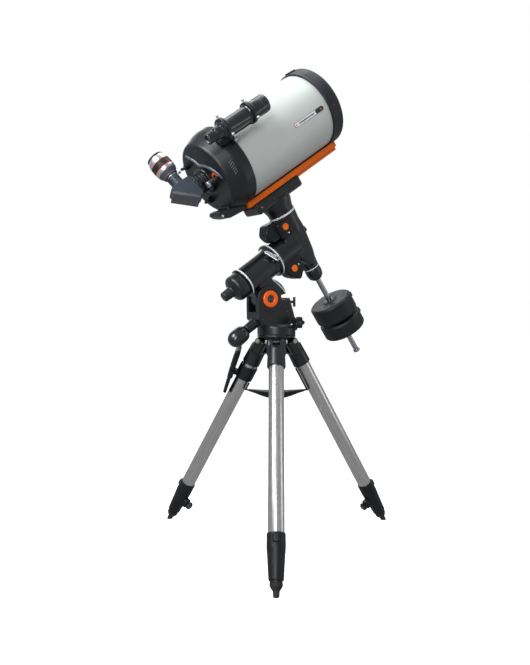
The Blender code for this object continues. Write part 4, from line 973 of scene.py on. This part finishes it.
piece("dec_clutch_grip",
    casting_bm([moved(prism_bm(lobed(0.012, 0.0024, 5, 80), 0.01, 0.0022, 3), z=0.0064)], 0.0007, 2),
    DEC_CLUTCH, "dec_clutch", PLASTIC, "dec_clutch_knob")

on_dec("saddle_ring",
    ring_bm([(0.046, DEC_TOP + 0.001), (0.0474, DEC_TOP + 0.0012), (0.0482, DEC_TOP + 0.0076),
        (0.046, DEC_TOP + 0.008)], 128, 0.0008), WHITE_LINE)
WEIGHT_R = 0.078
for which, top, bottom in (("upper", -0.249, -0.318), ("lower", -0.324, -0.382)):
    middle = (top + bottom) / 2
    disc = ring_bm([(0.0098, top), (0.025, top), (0.0262, top - 0.0012), (0.0262, top - 0.003),
        (0.071, top - 0.003), (WEIGHT_R, top - 0.0085), (WEIGHT_R, bottom + 0.006), (0.073, bottom),
        (0.0098, bottom)], 160, 0.0016)
    body = which + "_weight"
    piece("weight_disc_" + which,
        casting_bm([disc], 0.0014, 2,
            [bore(0.0056, 0.1, 40, 0.05, 0, middle, ALONG_X),
                moved(box_bm((0.022, 0.005, 0.004), 0.0), -0.038, -0.02, top - 0.002)]), POLAR, body,
        WEIGHT, "counterweight_" + which)
    piece("weight_sleeve_" + which,
        ring_bm([(0.0099, top + 0.0004), (0.0142, top + 0.0004), (0.0142, top - 0.004),
            (0.0099, top - 0.004)], 72, 0.0005), POLAR, body, DARK_STEEL)
    lock = shifted(POLAR, WEIGHT_R, 0, middle, ALONG_X)
    piece("weight_lock_" + which,
        casting_bm([moved(prism_bm(lobed(0.014, 0.0026, 6, 96), 0.012, 0.0026, 3), z=0.0072),
            moved(drum_bm(0.008, 0.005, 40, bevel=0.0005), z=0.0012)], 0.0008, 2), lock, body + "_lock",
        PLASTIC, "weight_lock_knob_" + which)
    piece("weight_lock_screw_" + which, moved(drum_bm(0.005, 0.033, 32), z=-0.016), lock,
        body + "_lock", TURNED_STEEL)

# ---------------------------------------------------------------- saddle

SADDLE_SCREW_S, SADDLE_SCREW_H = 0.06, 0.184
neck = turned_bm([(0, 0.17), (0.056, 0.17), (0.0548, 0.15), (0.047, 0.125), (0.0463, DEC_TOP + 0.0006),
    (0, DEC_TOP + 0.0006)], 128, 0.001)
on_dec("saddle_casting",
    casting_bm([neck, moved(box_bm((0.204, 0.1, 0.039), 0.008, 5), z=0.1792)], 0.0013, 6,
        [moved(box_bm((0.3, 0.0726, 0.03), 0), z=0.202),
            bore(0.0056, 0.04, 32, -SADDLE_SCREW_S, 0.045, SADDLE_SCREW_H, TO_NEAR),
            bore(0.0056, 0.04, 32, SADDLE_SCREW_S, 0.045, SADDLE_SCREW_H, TO_NEAR)]), BLACK, "saddle")
for i, x in enumerate((-0.085, -0.03, 0.03, 0.085)):
    on_dec(f"saddle_screw_{i}", moved(screw_bm(0.0034, 0.0024), x, -0.0498, 0.179, TO_NEAR),
        BRASS if i == 0 else DARK_STEEL, slot="stainless_steel")
for which, along in (("rear", -SADDLE_SCREW_S), ("front", SADDLE_SCREW_S)):
    turn = shifted(POLAR, along, 0.062, SADDLE_SCREW_H, (-HALF, 0, 0))
    piece("saddle_star_" + which,
        casting_bm([prism_bm(lobed(0.017, 0.0036, 6, 96), 0.016, 0.003, 3)], 0.0009, 2), turn,
        "saddle_screw_" + which, PLASTIC, "saddle_knob_" + which)
    piece("saddle_stem_" + which, moved(drum_bm(0.005, 0.02, 32), z=-0.013), turn,
        "saddle_screw_" + which, TURNED_STEEL)

# ---------------------------------------------------------------- optical tube

TUBE_R, RING_R = 0.133, 0.1385
TUBE_REAR, TUBE_FRONT, RING_FRONT, REAR, PORT = -0.0926, 0.2766, 0.3245, -0.185, -0.215
TUBE_WALL = 0.0018
FOCUS_Y, FOCUS_Z = -0.062, -0.008
BACK_SCREW_R = 0.104
TUBE_X = shifted(TUBE, rot=ALONG_X)


def on_face(s, radius, angle):
    """A frame on a plane across the tube: Z towards the sky, the angle in degrees from the top."""
    return (TUBE @ Matrix.Rotation(radians(angle), 4, "X") @ Matrix.Translation((s, 0, radius))
        @ Matrix.Rotation(HALF, 4, "Y"))


def on_rim(radius, s, angle):
    """A frame on a cylinder about the tube: Z outward, X along it, the angle in degrees from the top."""
    return TUBE @ Matrix.Rotation(radians(angle), 4, "X") @ Matrix.Translation((s, 0, radius))


ota("tube_shell",
    ring_bm([(TUBE_R, TUBE_FRONT - 0.0003), (TUBE_R, TUBE_REAR), (TUBE_R - TUBE_WALL, TUBE_REAR),
        (TUBE_R - TUBE_WALL, TUBE_FRONT - 0.0003)], 192, 0.0004), PEARL, "tube", where=TUBE_X)
ota("tube_baffle_lining",
    ring_bm([(TUBE_R - 0.0019, 0.265), (TUBE_R - 0.0019, -0.088), (TUBE_R - 0.003, -0.088),
        (TUBE_R - 0.003, 0.265)], 128, 0.0003), RUBBER, where=TUBE_X)
ring_solid = ring_bm([(0.122, RING_FRONT), (0.136, RING_FRONT), (RING_R, RING_FRONT - 0.0025),
    (RING_R, TUBE_FRONT + 0.0022), (RING_R - 0.002, TUBE_FRONT), (0.1306, TUBE_FRONT),
    (0.1306, TUBE_FRONT - 0.009), (0.1175, TUBE_FRONT - 0.009), (0.1175, 0.2997), (0.122, 0.2997)], 192,
    0.0012)
ota("front_cell", ring_solid, RING, "front_ring", where=TUBE_X)
ota("front_cell_boss",
    casting_bm([moved(box_bm((0.03, 0.03, 0.008), 0.003, 4), 0.299, 0, 0.1385)], 0.0008, 3), RING)
# thin gloss black bands on the charcoal front cell: painted shade in its grooves
for s in (0.2815, 0.3195):
    ota(f"front_cell_groove_{int(s * 1000)}",
        rim_bm(RING_R - 0.0006, RING_R + 0.00015, s, 0.0009, 0.0004, 192, 0.0001), GLOSS, where=TUBE_X,
        slot="charcoal")
for k in range(6):
    ota(f"front_cell_screw_{k}", screw_bm(0.003, 0.002), DARK_STEEL,
        where=on_rim(RING_R - 0.0003, 0.296, 35 + 60 * k))
ota("corrector_glass",
    ring_bm([(0.033, 0.3048), (0.1206, 0.3056), (0.1206, 0.3), (0.033, 0.3)], 160, 0.0003), GLASS,
    "corrector_plate", where=TUBE_X)
ota("retaining_ring",
    ring_bm([(0.114, 0.3062), (0.115, 0.3082), (0.1214, 0.3082), (0.1214, 0.3062)], 160, 0.0004), BLACK,
    where=TUBE_X)
for k in range(8):
    ota(f"retaining_screw_{k}", screw_bm(0.0021, 0.0014), SILVER,
        where=on_face(0.3081, 0.118, 22.5 + 45 * k))
ota("secondary_housing",
    turned_bm([(0, 0.3235), (0.036, 0.3235), (0.044, 0.3228), (0.046, 0.3205), (0.046, 0.3064),
        (0.0325, 0.3064), (0.0325, 0.2999), (0.04, 0.2999), (0.04, 0.27), (0, 0.27)], 128, 0.001),
    BLACK, "secondary_cell", where=TUBE_X)
ota("secondary_trim", rim_bm(0.0452, 0.0466, 0.3098, 0.0022, 0.0016, 128, 0.0003), ORANGE, where=TUBE_X)
for k in range(3):
    ota(f"collimation_screw_{k}", screw_bm(0.0032, 0.001), SILVER,
        where=on_face(0.3233, 0.02, 60 + 120 * k))

# dovetail bar
bar = casting_bm([moved(box_bm((0.424, 0.09, 0.027), 0.0022, 2), 0.09, 0, 0.2125 - TUBE_OFFSET),
    moved(box_bm((0.39, 0.072, 0.018), 0.0015, 2), 0.105, 0, 0.1963 - TUBE_OFFSET)], 0.0012, 1,
    [bore(RING_R + 0.0004, 0.6, 192, 0.09, 0, 0, ALONG_X),
        moved(box_bm((0.26, 0.028, 0.012), 0.0), 0.105, 0, 0.187 - TUBE_OFFSET)])
ota("dovetail_rail", bar, ORANGE, "dovetail_bar")
for i, s in enumerate((-0.11, 0.29)):
    ota(f"rail_stop_{i}", moved(screw_bm(0.004, 0.0026), s, 0.02, 0.1874 - TUBE_OFFSET, (pi, 0, 0)),
        DARK_STEEL)

# the badge: a blank plate on the tube's near side


def strip(length, width, cells, low, high, s0):
    """A pill-shaped plate bent round the tube, built from slices along its length."""
    bm = bmesh.new()
    rows = []
    for i in range(cells + 1):
        x = -length / 2 + length * (0.5 - 0.5 * cos(pi * i / cells))
        reach = length / 2 - width / 2
        over = max(0.0, abs(x) - reach)
        half = sqrt(max((width / 2) ** 2 - over ** 2, (width * 0.06) ** 2))
        row = []
        for r in (TUBE_R + low, TUBE_R + high):
            for k in range(5):
                y = half * (k / 2 - 1)
                q = HALF + y / TUBE_R
                row.append(bm.verts.new((s0 + x, -r * sin(q), r * cos(q))))
        rows.append(row)
    for a, b in zip(rows, rows[1:]):
        for k in range(4):
            bm.faces.new((a[k], a[k + 1], b[k + 1], b[k]))
            bm.faces.new((a[5 + k], b[5 + k], b[6 + k], a[6 + k]))
        bm.faces.new((a[0], b[0], b[5], a[5]))
        bm.faces.new((a[4], a[9], b[9], b[4]))
    for row in (rows[0], rows[-1]):
        for k in range(4):
            bm.faces.new((row[k], row[k + 1], row[6 + k], row[5 + k]))
    return bm


ota("badge_rim", strip(0.134, 0.0155, 40, -0.0003, 0.0007, 0.1885), DARK_STEEL, slot="silver_anodised")
ota("badge_plate", strip(0.1315, 0.0132, 40, 0.0003, 0.0012, 0.1885), BADGE)
ota("badge_stripe", strip(0.07, 0.0036, 24, 0.0008, 0.0015, 0.176), DARK_STEEL, slot="slate_grey")
ota("badge_dark_end", strip(0.038, 0.0135, 24, 0.0008, 0.0015, 0.237), DISPLAY, slot="satin_black")
ota("badge_red_dot", strip(0.0062, 0.0062, 12, 0.0008, 0.0015, 0.129), BUTTON)
ota("badge_front_dot", strip(0.0048, 0.0048, 12, 0.0012, 0.0018, 0.244), BUTTON)

# rear casting
rear_profile = [(0.1306, TUBE_REAR + 0.008), (0.1306, TUBE_REAR - 0.0003), (0.1378, TUBE_REAR - 0.0003),
    (RING_R, TUBE_REAR - 0.0012), (RING_R, -0.127), (0.1368, -0.137), (0.1222, -0.179),
    (0.118, -0.1838), (0.114, REAR), (0.0262, REAR), (0.0262, REAR + 0.008), (0.09, REAR + 0.008),
    (0.112, -0.17), (0.124, -0.155), (0.1275, -0.125), (0.1275, TUBE_REAR + 0.008)]
lip = [(x, z - TUBE_OFFSET)
    for x, z in ((-0.125, 0.2005), (-0.198, 0.209), (-0.223, 0.227), (-0.229, 0.24), (-0.223, 0.248),
        (-0.211, 0.248), (-0.192, 0.24), (-0.17, 0.248), (-0.14, 0.24), (-0.125, 0.22))]
rear = casting_bm([moved(ring_bm(rear_profile, 192, 0.002), rot=ALONG_X),
    moved(prism_bm(fillet(lip, 0.006, True, 5), 0.07, 0.005, 4), rot=TO_NEAR)], 0.0016, 3,
    [bore(0.124, 0.072, 160, -0.122, 0, 0, ALONG_X), bore(0.0262, 0.06, 96, REAR, 0, 0, ALONG_X)])
ota("rear_cell", rear, REAR_PAINT, "rear_casting")
# a black spacer under the tube, above the dovetail; its black also stands in as painted shadow between
# tube and bar
ota("rail_spacer", moved(box_bm((0.4, 0.06, 0.013), 0.001, 2), 0.08, 0, 0.2165 - TUBE_OFFSET), BLACK)


def rear_face(y, z):
    """A frame on the flat back of the casting: Z points back, away from the sky."""
    return shifted(TUBE, REAR, y, z, (0, -HALF, 0))


# the raised ridge that crosses the back, near the knobs; its light bluish grey is a painted highlight on
# the ridge's edge
ridge_path = [(0.092, 0.048), (0.0884, 0.0404), (0.07, 0.014), (0.052, -0.002), (0.0475, -0.0075),
    (0.043, -0.028), (0.036, -0.048), (0.025, -0.0652), (0.008, -0.084), (-0.012, -0.098)]
# the same path as a Catmull-Rom curve
smooth_path = []
for i in range(len(ridge_path) - 1):
    p0 = Vector(ridge_path[max(i - 1, 0)])
    p1, p2 = Vector(ridge_path[i]), Vector(ridge_path[i + 1])
    p3 = Vector(ridge_path[min(i + 2, len(ridge_path) - 1)])
    for k in range(6):
        f = k / 6
        smooth_path.append(0.5 * ((2 * p1) + (p2 - p0) * f + (2 * p0 - 5 * p1 + 4 * p2 - p3) * f ** 2
            + (3 * p1 - p0 - 3 * p2 + p3) * f ** 3))
smooth_path.append(Vector(ridge_path[-1]))


def ridge_bm(path, width, height):
    """A rounded rib along (z, y) points on the back plate."""
    bm = bmesh.new()
    rows = []
    count = len(path)
    for i, p in enumerate(path):
        along = (path[min(i + 1, count - 1)] - path[max(i - 1, 0)]).normalized()
        across = Vector((-along.y, along.x))
        fade = min(1.0, i / 5 + 0.15, (count - 1 - i) / 5 + 0.15)
        row = []
        for k in range(9):
            q = pi * k / 8
            side_off = cos(q) * width / 2
            lift = sin(q) * height * fade
            at = p + across * side_off
            row.append(bm.verts.new((REAR + 0.0006 - lift, at.y, at.x)))
        rows.append(row)
    for a, b in zip(rows, rows[1:]):
        for k in range(8):
            bm.faces.new((a[k], a[k + 1], b[k + 1], b[k]))
        bm.faces.new((a[8], a[0], b[0], b[8]))
    bm.faces.new(rows[0])
    bm.faces.new(rows[-1])
    return bm


ota("back_ridge", ridge_bm(smooth_path, 0.0115, 0.005), RIDGE_HIGHLIGHT)
for k in range(6):
    ota(f"vent_slat_{k}",
        moved(box_bm((0.015, 0.003, 0.0022), 0.0008, 2), rot=(0, radians(-19.2), radians(24))), VENT,
        where=on_rim(0.1325, -0.15, 80 + 3.4 * k))
ota("lip_screw", moved(screw_bm(0.0042, 0.0026), -0.219, -0.035, 0.23 - TUBE_OFFSET, TO_NEAR), SILVER)
for k, angle in enumerate((20, 65, 155, 200, 290, 335)):
    q = radians(angle)
    ota(f"back_screw_{k}", screw_bm(0.0032, 0.002), DARK_STEEL,
        where=rear_face(-BACK_SCREW_R * sin(q), BACK_SCREW_R * cos(q)))
ota("baffle",
    ring_bm([(0.022, 0.03), (0.0235, -0.15), (0.0235, REAR + 0.0133), (0.038, REAR + 0.0133),
        (0.038, REAR + 0.0083), (0.0205, REAR + 0.0083), (0.0205, 0.03)], 96, 0.0004), RUBBER,
    "baffle_tube", where=TUBE_X)
ota("rear_port",
    ring_bm([(0.0257, REAR + 0.008), (0.0257, REAR - 0.0003), (0.046, REAR - 0.0003),
        (0.046, REAR - 0.013), (0.044, REAR - 0.015), (0.0335, REAR - 0.016), (0.033, PORT),
        (0.0195, PORT), (0.0195, REAR + 0.008)], 128, 0.001), GLOSS, "visual_back", where=TUBE_X,
    slot="satin_black")
ota("rear_port_grip", rim_bm(0.0328, 0.0338, PORT + 0.007, 0.005, 0.0044, 96, 0.0003), GRIP_X,
    where=TUBE_X)
focus_arc = arc(0.0215, -70, 120, 30) + arc(0.015, 120, -70, 30)
ota("focus_index_arc", moved(prism_bm(focus_arc, 0.0016, 0.0003, 1), z=0.001), ORANGE_GLOSS,
    where=rear_face(FOCUS_Y, FOCUS_Z))

piece("main_mirror",
    ring_bm([(0.029, -0.1295), (0.06, -0.1272), (0.09, -0.1246), (0.12, -0.1212), (0.12, -0.145),
        (0.029, -0.148)], 160, 0.0), TUBE_X, "mirror_cell", MIRROR, "primary_mirror")
FOCUS = rear_face(FOCUS_Y, FOCUS_Z)
piece("focus_grip",
    turned_bm([(0, 0.033), (0.0104, 0.033), (0.011, 0.032), (0.011, 0.004), (0.009, 0.003),
        (0.009, 0.0003), (0, 0.0003)], 72, 0.0008), FOCUS, "focuser", GRIP, "focus_knob")
piece("focus_cap",
    turned_bm([(0, 0.0398), (0.0086, 0.0398), (0.0104, 0.0384), (0.0108, 0.032), (0, 0.032)], 72,
        0.001), FOCUS, "focuser", SILVER)
for which, y, z in (("upper", 0.07, 0.06), ("lower", 0.04, -0.068)):
    body = "mirror_clutch_" + ("a" if which == "upper" else "b")
    piece("mirror_lock_" + which,
        casting_bm([moved(drum_bm(0.011, 0.01, 48, bevel=0.001), z=0.0056),
            moved(box_bm((0.0095, 0.034, 0.015), 0.0034, 4), z=0.0154)], 0.0007, 3), rear_face(y, z),
        body, PLASTIC, "mirror_clutch_" + which)
    ota("mirror_lock_seat_" + which,
        ring_bm([(0.012, 0.0008), (0.015, 0.0006), (0.0154, -0.0006), (0.012, -0.0006)], 64, 0.0002),
        BLACK, where=rear_face(y, z))

# ---------------------------------------------------------------- finder

FINDER_RINGS, FINDER_BED, CRADLE_R = (-0.128, -0.022), -0.038, 0.0298
foot_height = FINDER_DISTANCE + FINDER_BED - RING_R - 0.0006
rings = [moved(ring_bm([(CRADLE_R, 0.0065), (0.0352, 0.0065), (0.036, 0.005), (0.036, -0.005),
    (0.0352, -0.0065), (CRADLE_R, -0.0065)], 96, 0.0006), s, 0, 0, ALONG_X) for s in FINDER_RINGS]
bracket = casting_bm(rings
    + [moved(box_bm((0.132, 0.026, 0.008), 0.002, 3), -0.075, 0, FINDER_BED),
        moved(box_bm((0.052, 0.036, foot_height), 0.002, 3), -0.122, 0, FINDER_BED - foot_height / 2)],
    0.0009, 3, [bore(CRADLE_R, 0.2, 96, -0.075, 0, 0, ALONG_X)])
ota("finder_cradle", bracket, BLACK, "finder_bracket", where=FINDER)
for i, s in enumerate(FINDER_RINGS):
    for k, angle in enumerate((70, 190, 310)):
        at = FINDER @ Matrix.Translation((s, 0, 0)) @ Matrix.Rotation(radians(angle), 4, "X")
        ota(f"finder_screw_{i}_{k}",
            thumb_screw_bm(0.0022, 0.012, 0.035, 0.0048, 0.006, 0.0424, soft=0.0003), SILVER, where=at)
ota("finder_foot_screw",
    joined(moved(drum_bm(0.003, 0.016, 24, bevel=0.0003), z=0.004),
        moved(prism_bm(lobed(0.0078, 0.0012, 10, 80), 0.008, 0.0012, 3), z=0.012)), SILVER,
    where=shifted(FINDER, -0.098, -0.015, -0.04, (HALF, 0, 0)))
FINDER_X = shifted(FINDER, rot=ALONG_X)
ota("finder_body",
    turned_bm([(0, 0.033), (0.0255, 0.033), (0.0262, 0.043), (0.027, 0.0448), (0.0284, 0.0448),
        (0.029, 0.044), (0.029, -0.03), (0.0267, -0.0338), (0.0265, -0.035), (0.0265, -0.118),
        (0.0288, -0.1195), (0.0292, -0.121), (0.0292, -0.135), (0.0205, -0.1415), (0.02, -0.143),
        (0.02, -0.163), (0.017, -0.1655), (0.017, -0.193), (0.0155, -0.195), (0.012, -0.195),
        (0.01, -0.19), (0, -0.19)], 96, 0.0008), GLOSS, "finder_scope", where=FINDER_X)
for k in range(6):
    s = 0.04 - 0.0062 * k
    ota(f"finder_cell_rib_{k}", rim_bm(0.0284, 0.0294, s, 0.0018, 0.001, 96, 0.0003),
        DARK_STEEL if k in (0, 3) else BLACK, where=FINDER_X, slot="satin_black")
ota("finder_lens",
    turned_bm(
        [(0, 0.038), (0.01, 0.0374), (0.018, 0.0358), (0.0252, 0.0332), (0.0252, 0.0324), (0, 0.0324)],
        96, 0.0), LENS, where=FINDER_X)
ota("finder_eye_ring", rim_bm(0.0166, 0.0174, -0.1715, 0.0015, 0.0011, 72, 0.0002), GRIP_X,
    where=FINDER_X)
ota("finder_eye_lens",
    turned_bm([(0, -0.1888), (0.0096, -0.1902), (0.0096, -0.1898), (0, -0.188)], 64, 0.0), LENS,
    where=FINDER_X)

# ---------------------------------------------------------------- diagonal and eyepiece

side_view = [(0.038, 0.03), (0.03, 0.036), (-0.03, 0.036), (-0.042, 0.03), (-0.044, 0.02),
    (0.02, -0.044), (0.032, -0.042), (0.038, -0.034)]
piece("diagonal_body",
    casting_bm([moved(prism_bm(fillet(side_view, 0.004, True, 4), 0.054, 0.003, 3), rot=TO_NEAR),
        moved(drum_bm(0.0208, 0.04, 72, bevel=0.001), z=0.053)], 0.0008, 2,
        [bore(0.016, 0.06, 72, z=0.07)]), DIAGONAL, "diagonal", SLATE, "star_diagonal")
piece("diagonal_back",
    moved(box_bm((0.088, 0.062, 0.01), 0.0018, 3), -0.0155, 0, -0.0155, (0, radians(45), 0)), DIAGONAL,
    "diagonal", SLATE_DARK)
barrel = -DIAGONAL_S - 0.195
collar_start = DIAGONAL_S + 0.0345
collar = PORT - 0.0003 - collar_start
piece("diagonal_nose", moved(drum_bm(0.019, barrel, 72), barrel / 2, 0, 0, ALONG_X), DIAGONAL,
    "diagonal", TURNED_STEEL)
piece("diagonal_collar",
    joined(moved(drum_bm(0.034, collar, 96, bevel=0.0016), collar_start + collar / 2 - DIAGONAL_S, 0, 0,
        ALONG_X),
        moved(rim_bm(0.0336, 0.035, 0, 0.003, 0.0022, 96, 0.0004),
            collar_start + collar * 0.6 - DIAGONAL_S, 0, 0, ALONG_X)), DIAGONAL, "diagonal", GLOSS)
for k, height in enumerate((0.07, 0.056)):
    piece(f"eyepiece_holder_ring_{k}", rim_bm(0.02, 0.0212, height, 0.0016, 0.0012, 72, 0.0003),
        DIAGONAL, "diagonal", DARK_STEEL if k else SILVER)
for k, angle in enumerate((-60, 60)):
    at = DIAGONAL @ Matrix.Rotation(radians(angle), 4, "Z") @ Matrix.Translation((0, -0.02, 0.064))
    piece(f"eyepiece_set_screw_{k}",
        moved(thumb_screw_bm(0.0018, 0.01, 0.004, 0.0045, 0.006, 0.009), rot=TO_NEAR), at, "diagonal",
        DARK_STEEL)
ota("diagonal_lock_screw", thumb_screw_bm(0.0018, 0.01, 0.004, 0.0048, 0.006, 0.009), DARK_STEEL,
    where=shifted(TUBE, PORT + 0.007, 0, -0.033, (pi, 0, 0)))

bands = [("eyepiece_barrel", [(0, 0.0735), (0.0154, 0.0735), (0.0154, 0.045), (0, 0.045)], TURNED_STEEL,
    "stainless_steel"),
    ("eyepiece_shoulder",
        [(0, 0.0925), (0.0334, 0.0925), (0.0328, 0.089), (0.0258, 0.0775), (0.0255, 0.0735),
            (0, 0.0735)], SLATE_DARK, "satin_black"),
    ("eyepiece_lower_band", [(0, 0.103), (0.0355, 0.103), (0.0336, 0.0925), (0, 0.0925)], SILVER,
        "silver_anodised"),
    ("eyepiece_lower_line", [(0, 0.1052), (0.0354, 0.1052), (0.0354, 0.103), (0, 0.103)], ORANGE_GLOSS,
        "orange_anodised"),
    ("eyepiece_grip", [(0, 0.127), (0.0355, 0.127), (0.0355, 0.1052), (0, 0.1052)], GRIP,
        "black_plastic"),
    ("eyepiece_upper_line", [(0, 0.129), (0.0352, 0.129), (0.0352, 0.127), (0, 0.127)], ORANGE_GLOSS,
        "orange_anodised"),
    ("eyepiece_upper_band",
        [(0, 0.1495), (0.0292, 0.1495), (0.0334, 0.1392), (0.0352, 0.129), (0, 0.129)], SILVER,
        "silver_anodised"),
    ("eyepiece_cup",
        [(0, 0.15), (0.018, 0.15), (0.0226, 0.1558), (0.0272, 0.1558), (0.029, 0.154), (0.0291, 0.1495),
            (0, 0.1495)], RUBBER, "black_plastic")]
for name, profile, material, slot_name in bands:
    piece(name, turned_bm(profile, 96, 0.0007), DIAGONAL, "ocular", material,
        "eyepiece" if name == "eyepiece_grip" else None)
piece("eyepiece_lens",
    turned_bm([(0, 0.1514), (0.008, 0.1511), (0.015, 0.1503), (0.017, 0.1498), (0, 0.1498)], 72, 0.0),
    DIAGONAL, "ocular", LENS)


# ---------------------------------------------------------------- stage, light, camera

FLOOR_SIZE, FLOOR_GLOW = 14.0, 0.74
AMBIENT_LOW, AMBIENT_HIGH = 0.36, 0.42
floor_bm = bmesh.new()
bmesh.ops.create_grid(floor_bm, x_segments=8, y_segments=8, size=FLOOR_SIZE)
floor = new_object("floor", floor_bm)
floor.location = (0, 0, -0.0004)
FLOOR = Nodes("pale_floor")
FLOOR.link("Base Color", FLOOR.colours(FLOOR.noise(2.0, 3.0), (0.9, 0.9, 0.9), (0.93, 0.93, 0.93)))
FLOOR.set(Roughness=0.85, Specular_IOR_Level=0.1, Emission_Strength=FLOOR_GLOW)
FLOOR.link("Emission Color", FLOOR.colours(FLOOR.noise(1.5, 3.0), (0.98, 0.98, 0.98), (1.0, 1.0, 1.0)))
floor.data.materials.append(FLOOR.material)
floor.visible_diffuse = False
floor.visible_glossy = False

world = bpy.data.worlds.new("studio")
bpy.context.scene.world = world
world.use_nodes = True
tree = world.node_tree
background = tree.nodes["Background"]
coords = tree.nodes.new("ShaderNodeTexCoord")
split = tree.nodes.new("ShaderNodeSeparateXYZ")
tree.links.new(coords.outputs["Generated"], split.inputs["Vector"])
lift = tree.nodes.new("ShaderNodeMapRange")
lift.inputs["From Min"].default_value = -0.1
lift.inputs["From Max"].default_value = 0.9
lift.inputs["To Min"].default_value = AMBIENT_LOW
lift.inputs["To Max"].default_value = AMBIENT_HIGH
tree.links.new(split.outputs["Z"], lift.inputs["Value"])
tree.links.new(lift.outputs["Result"], background.inputs["Strength"])
background.inputs["Color"].default_value = (0.93, 0.96, 1.0, 1.0)
seen = tree.nodes.new("ShaderNodeBackground")
seen.inputs["Color"].default_value = (1.0, 1.0, 1.0, 1.0)
seen.inputs["Strength"].default_value = 1.0
paths = tree.nodes.new("ShaderNodeLightPath")
choose = tree.nodes.new("ShaderNodeMixShader")
tree.links.new(paths.outputs["Is Camera Ray"], choose.inputs["Fac"])
tree.links.new(background.outputs["Background"], choose.inputs[1])
tree.links.new(seen.outputs["Background"], choose.inputs[2])
tree.links.new(choose.outputs["Shader"], tree.nodes["World Output"].inputs["Surface"])


def softbox(name, at, target, size, energy, colour=(1.0, 1.0, 1.0)):
    light = bpy.data.lights.new(name, "AREA")
    light.shape = "RECTANGLE"
    light.size, light.size_y = size
    light.energy = energy
    light.color = colour
    ob = bpy.data.objects.new(name, light)
    bpy.context.scene.collection.objects.link(ob)
    ob.location = at
    ob.rotation_euler = (Vector(target) - Vector(at)).to_track_quat("-Z", "Y").to_euler()


softbox("key", (-1.9, -1.6, 2.9), (0, 0, 1.1), (1.4, 1.4), 86, (0.9, 0.96, 1.0))
softbox("top", (0.3, 0.6, 3.4), (0, 0, 1.0), (2.2, 1.6), 32)
softbox("front", (-0.7, -3.6, 1.7), (0, 0, 0.9), (1.1, 2.2), 60)
softbox("side", (2.9, -0.2, 1.2), (0, 0, 0.6), (0.5, 2.0), 6)
softbox("back", (-0.8, 2.8, 2.2), (0, 0, 0.9), (1.8, 1.8), 20)

camera = bpy.data.cameras.new("camera")
camera_ob = bpy.data.objects.new("camera", camera)
bpy.context.scene.collection.objects.link(camera_ob)
PITCH, YAW, SENSOR = 0.0552, -0.0158, 36.0
FOCAL_PER_HEIGHT = 720.6 / 665
CAMERA_BACK, CAMERA_UP = 2.487, 0.867
axis_foot = joint_origin("azimuth_turn").to_2d().to_3d()
forward = Vector((sin(YAW) * cos(PITCH), cos(YAW) * cos(PITCH), -sin(PITCH)))
right = Vector((cos(YAW), -sin(YAW), 0.0))
aim = Matrix((right, right.cross(forward), -forward)).transposed().to_4x4()
camera_ob.matrix_world = Matrix.Translation(axis_foot + Vector((0, -CAMERA_BACK, CAMERA_UP))) @ aim
camera.sensor_fit = "VERTICAL"
camera.sensor_height = SENSOR
camera.lens = FOCAL_PER_HEIGHT * SENSOR
bpy.context.scene.camera = camera_ob
bpy.context.scene.view_settings.view_transform = "Standard"
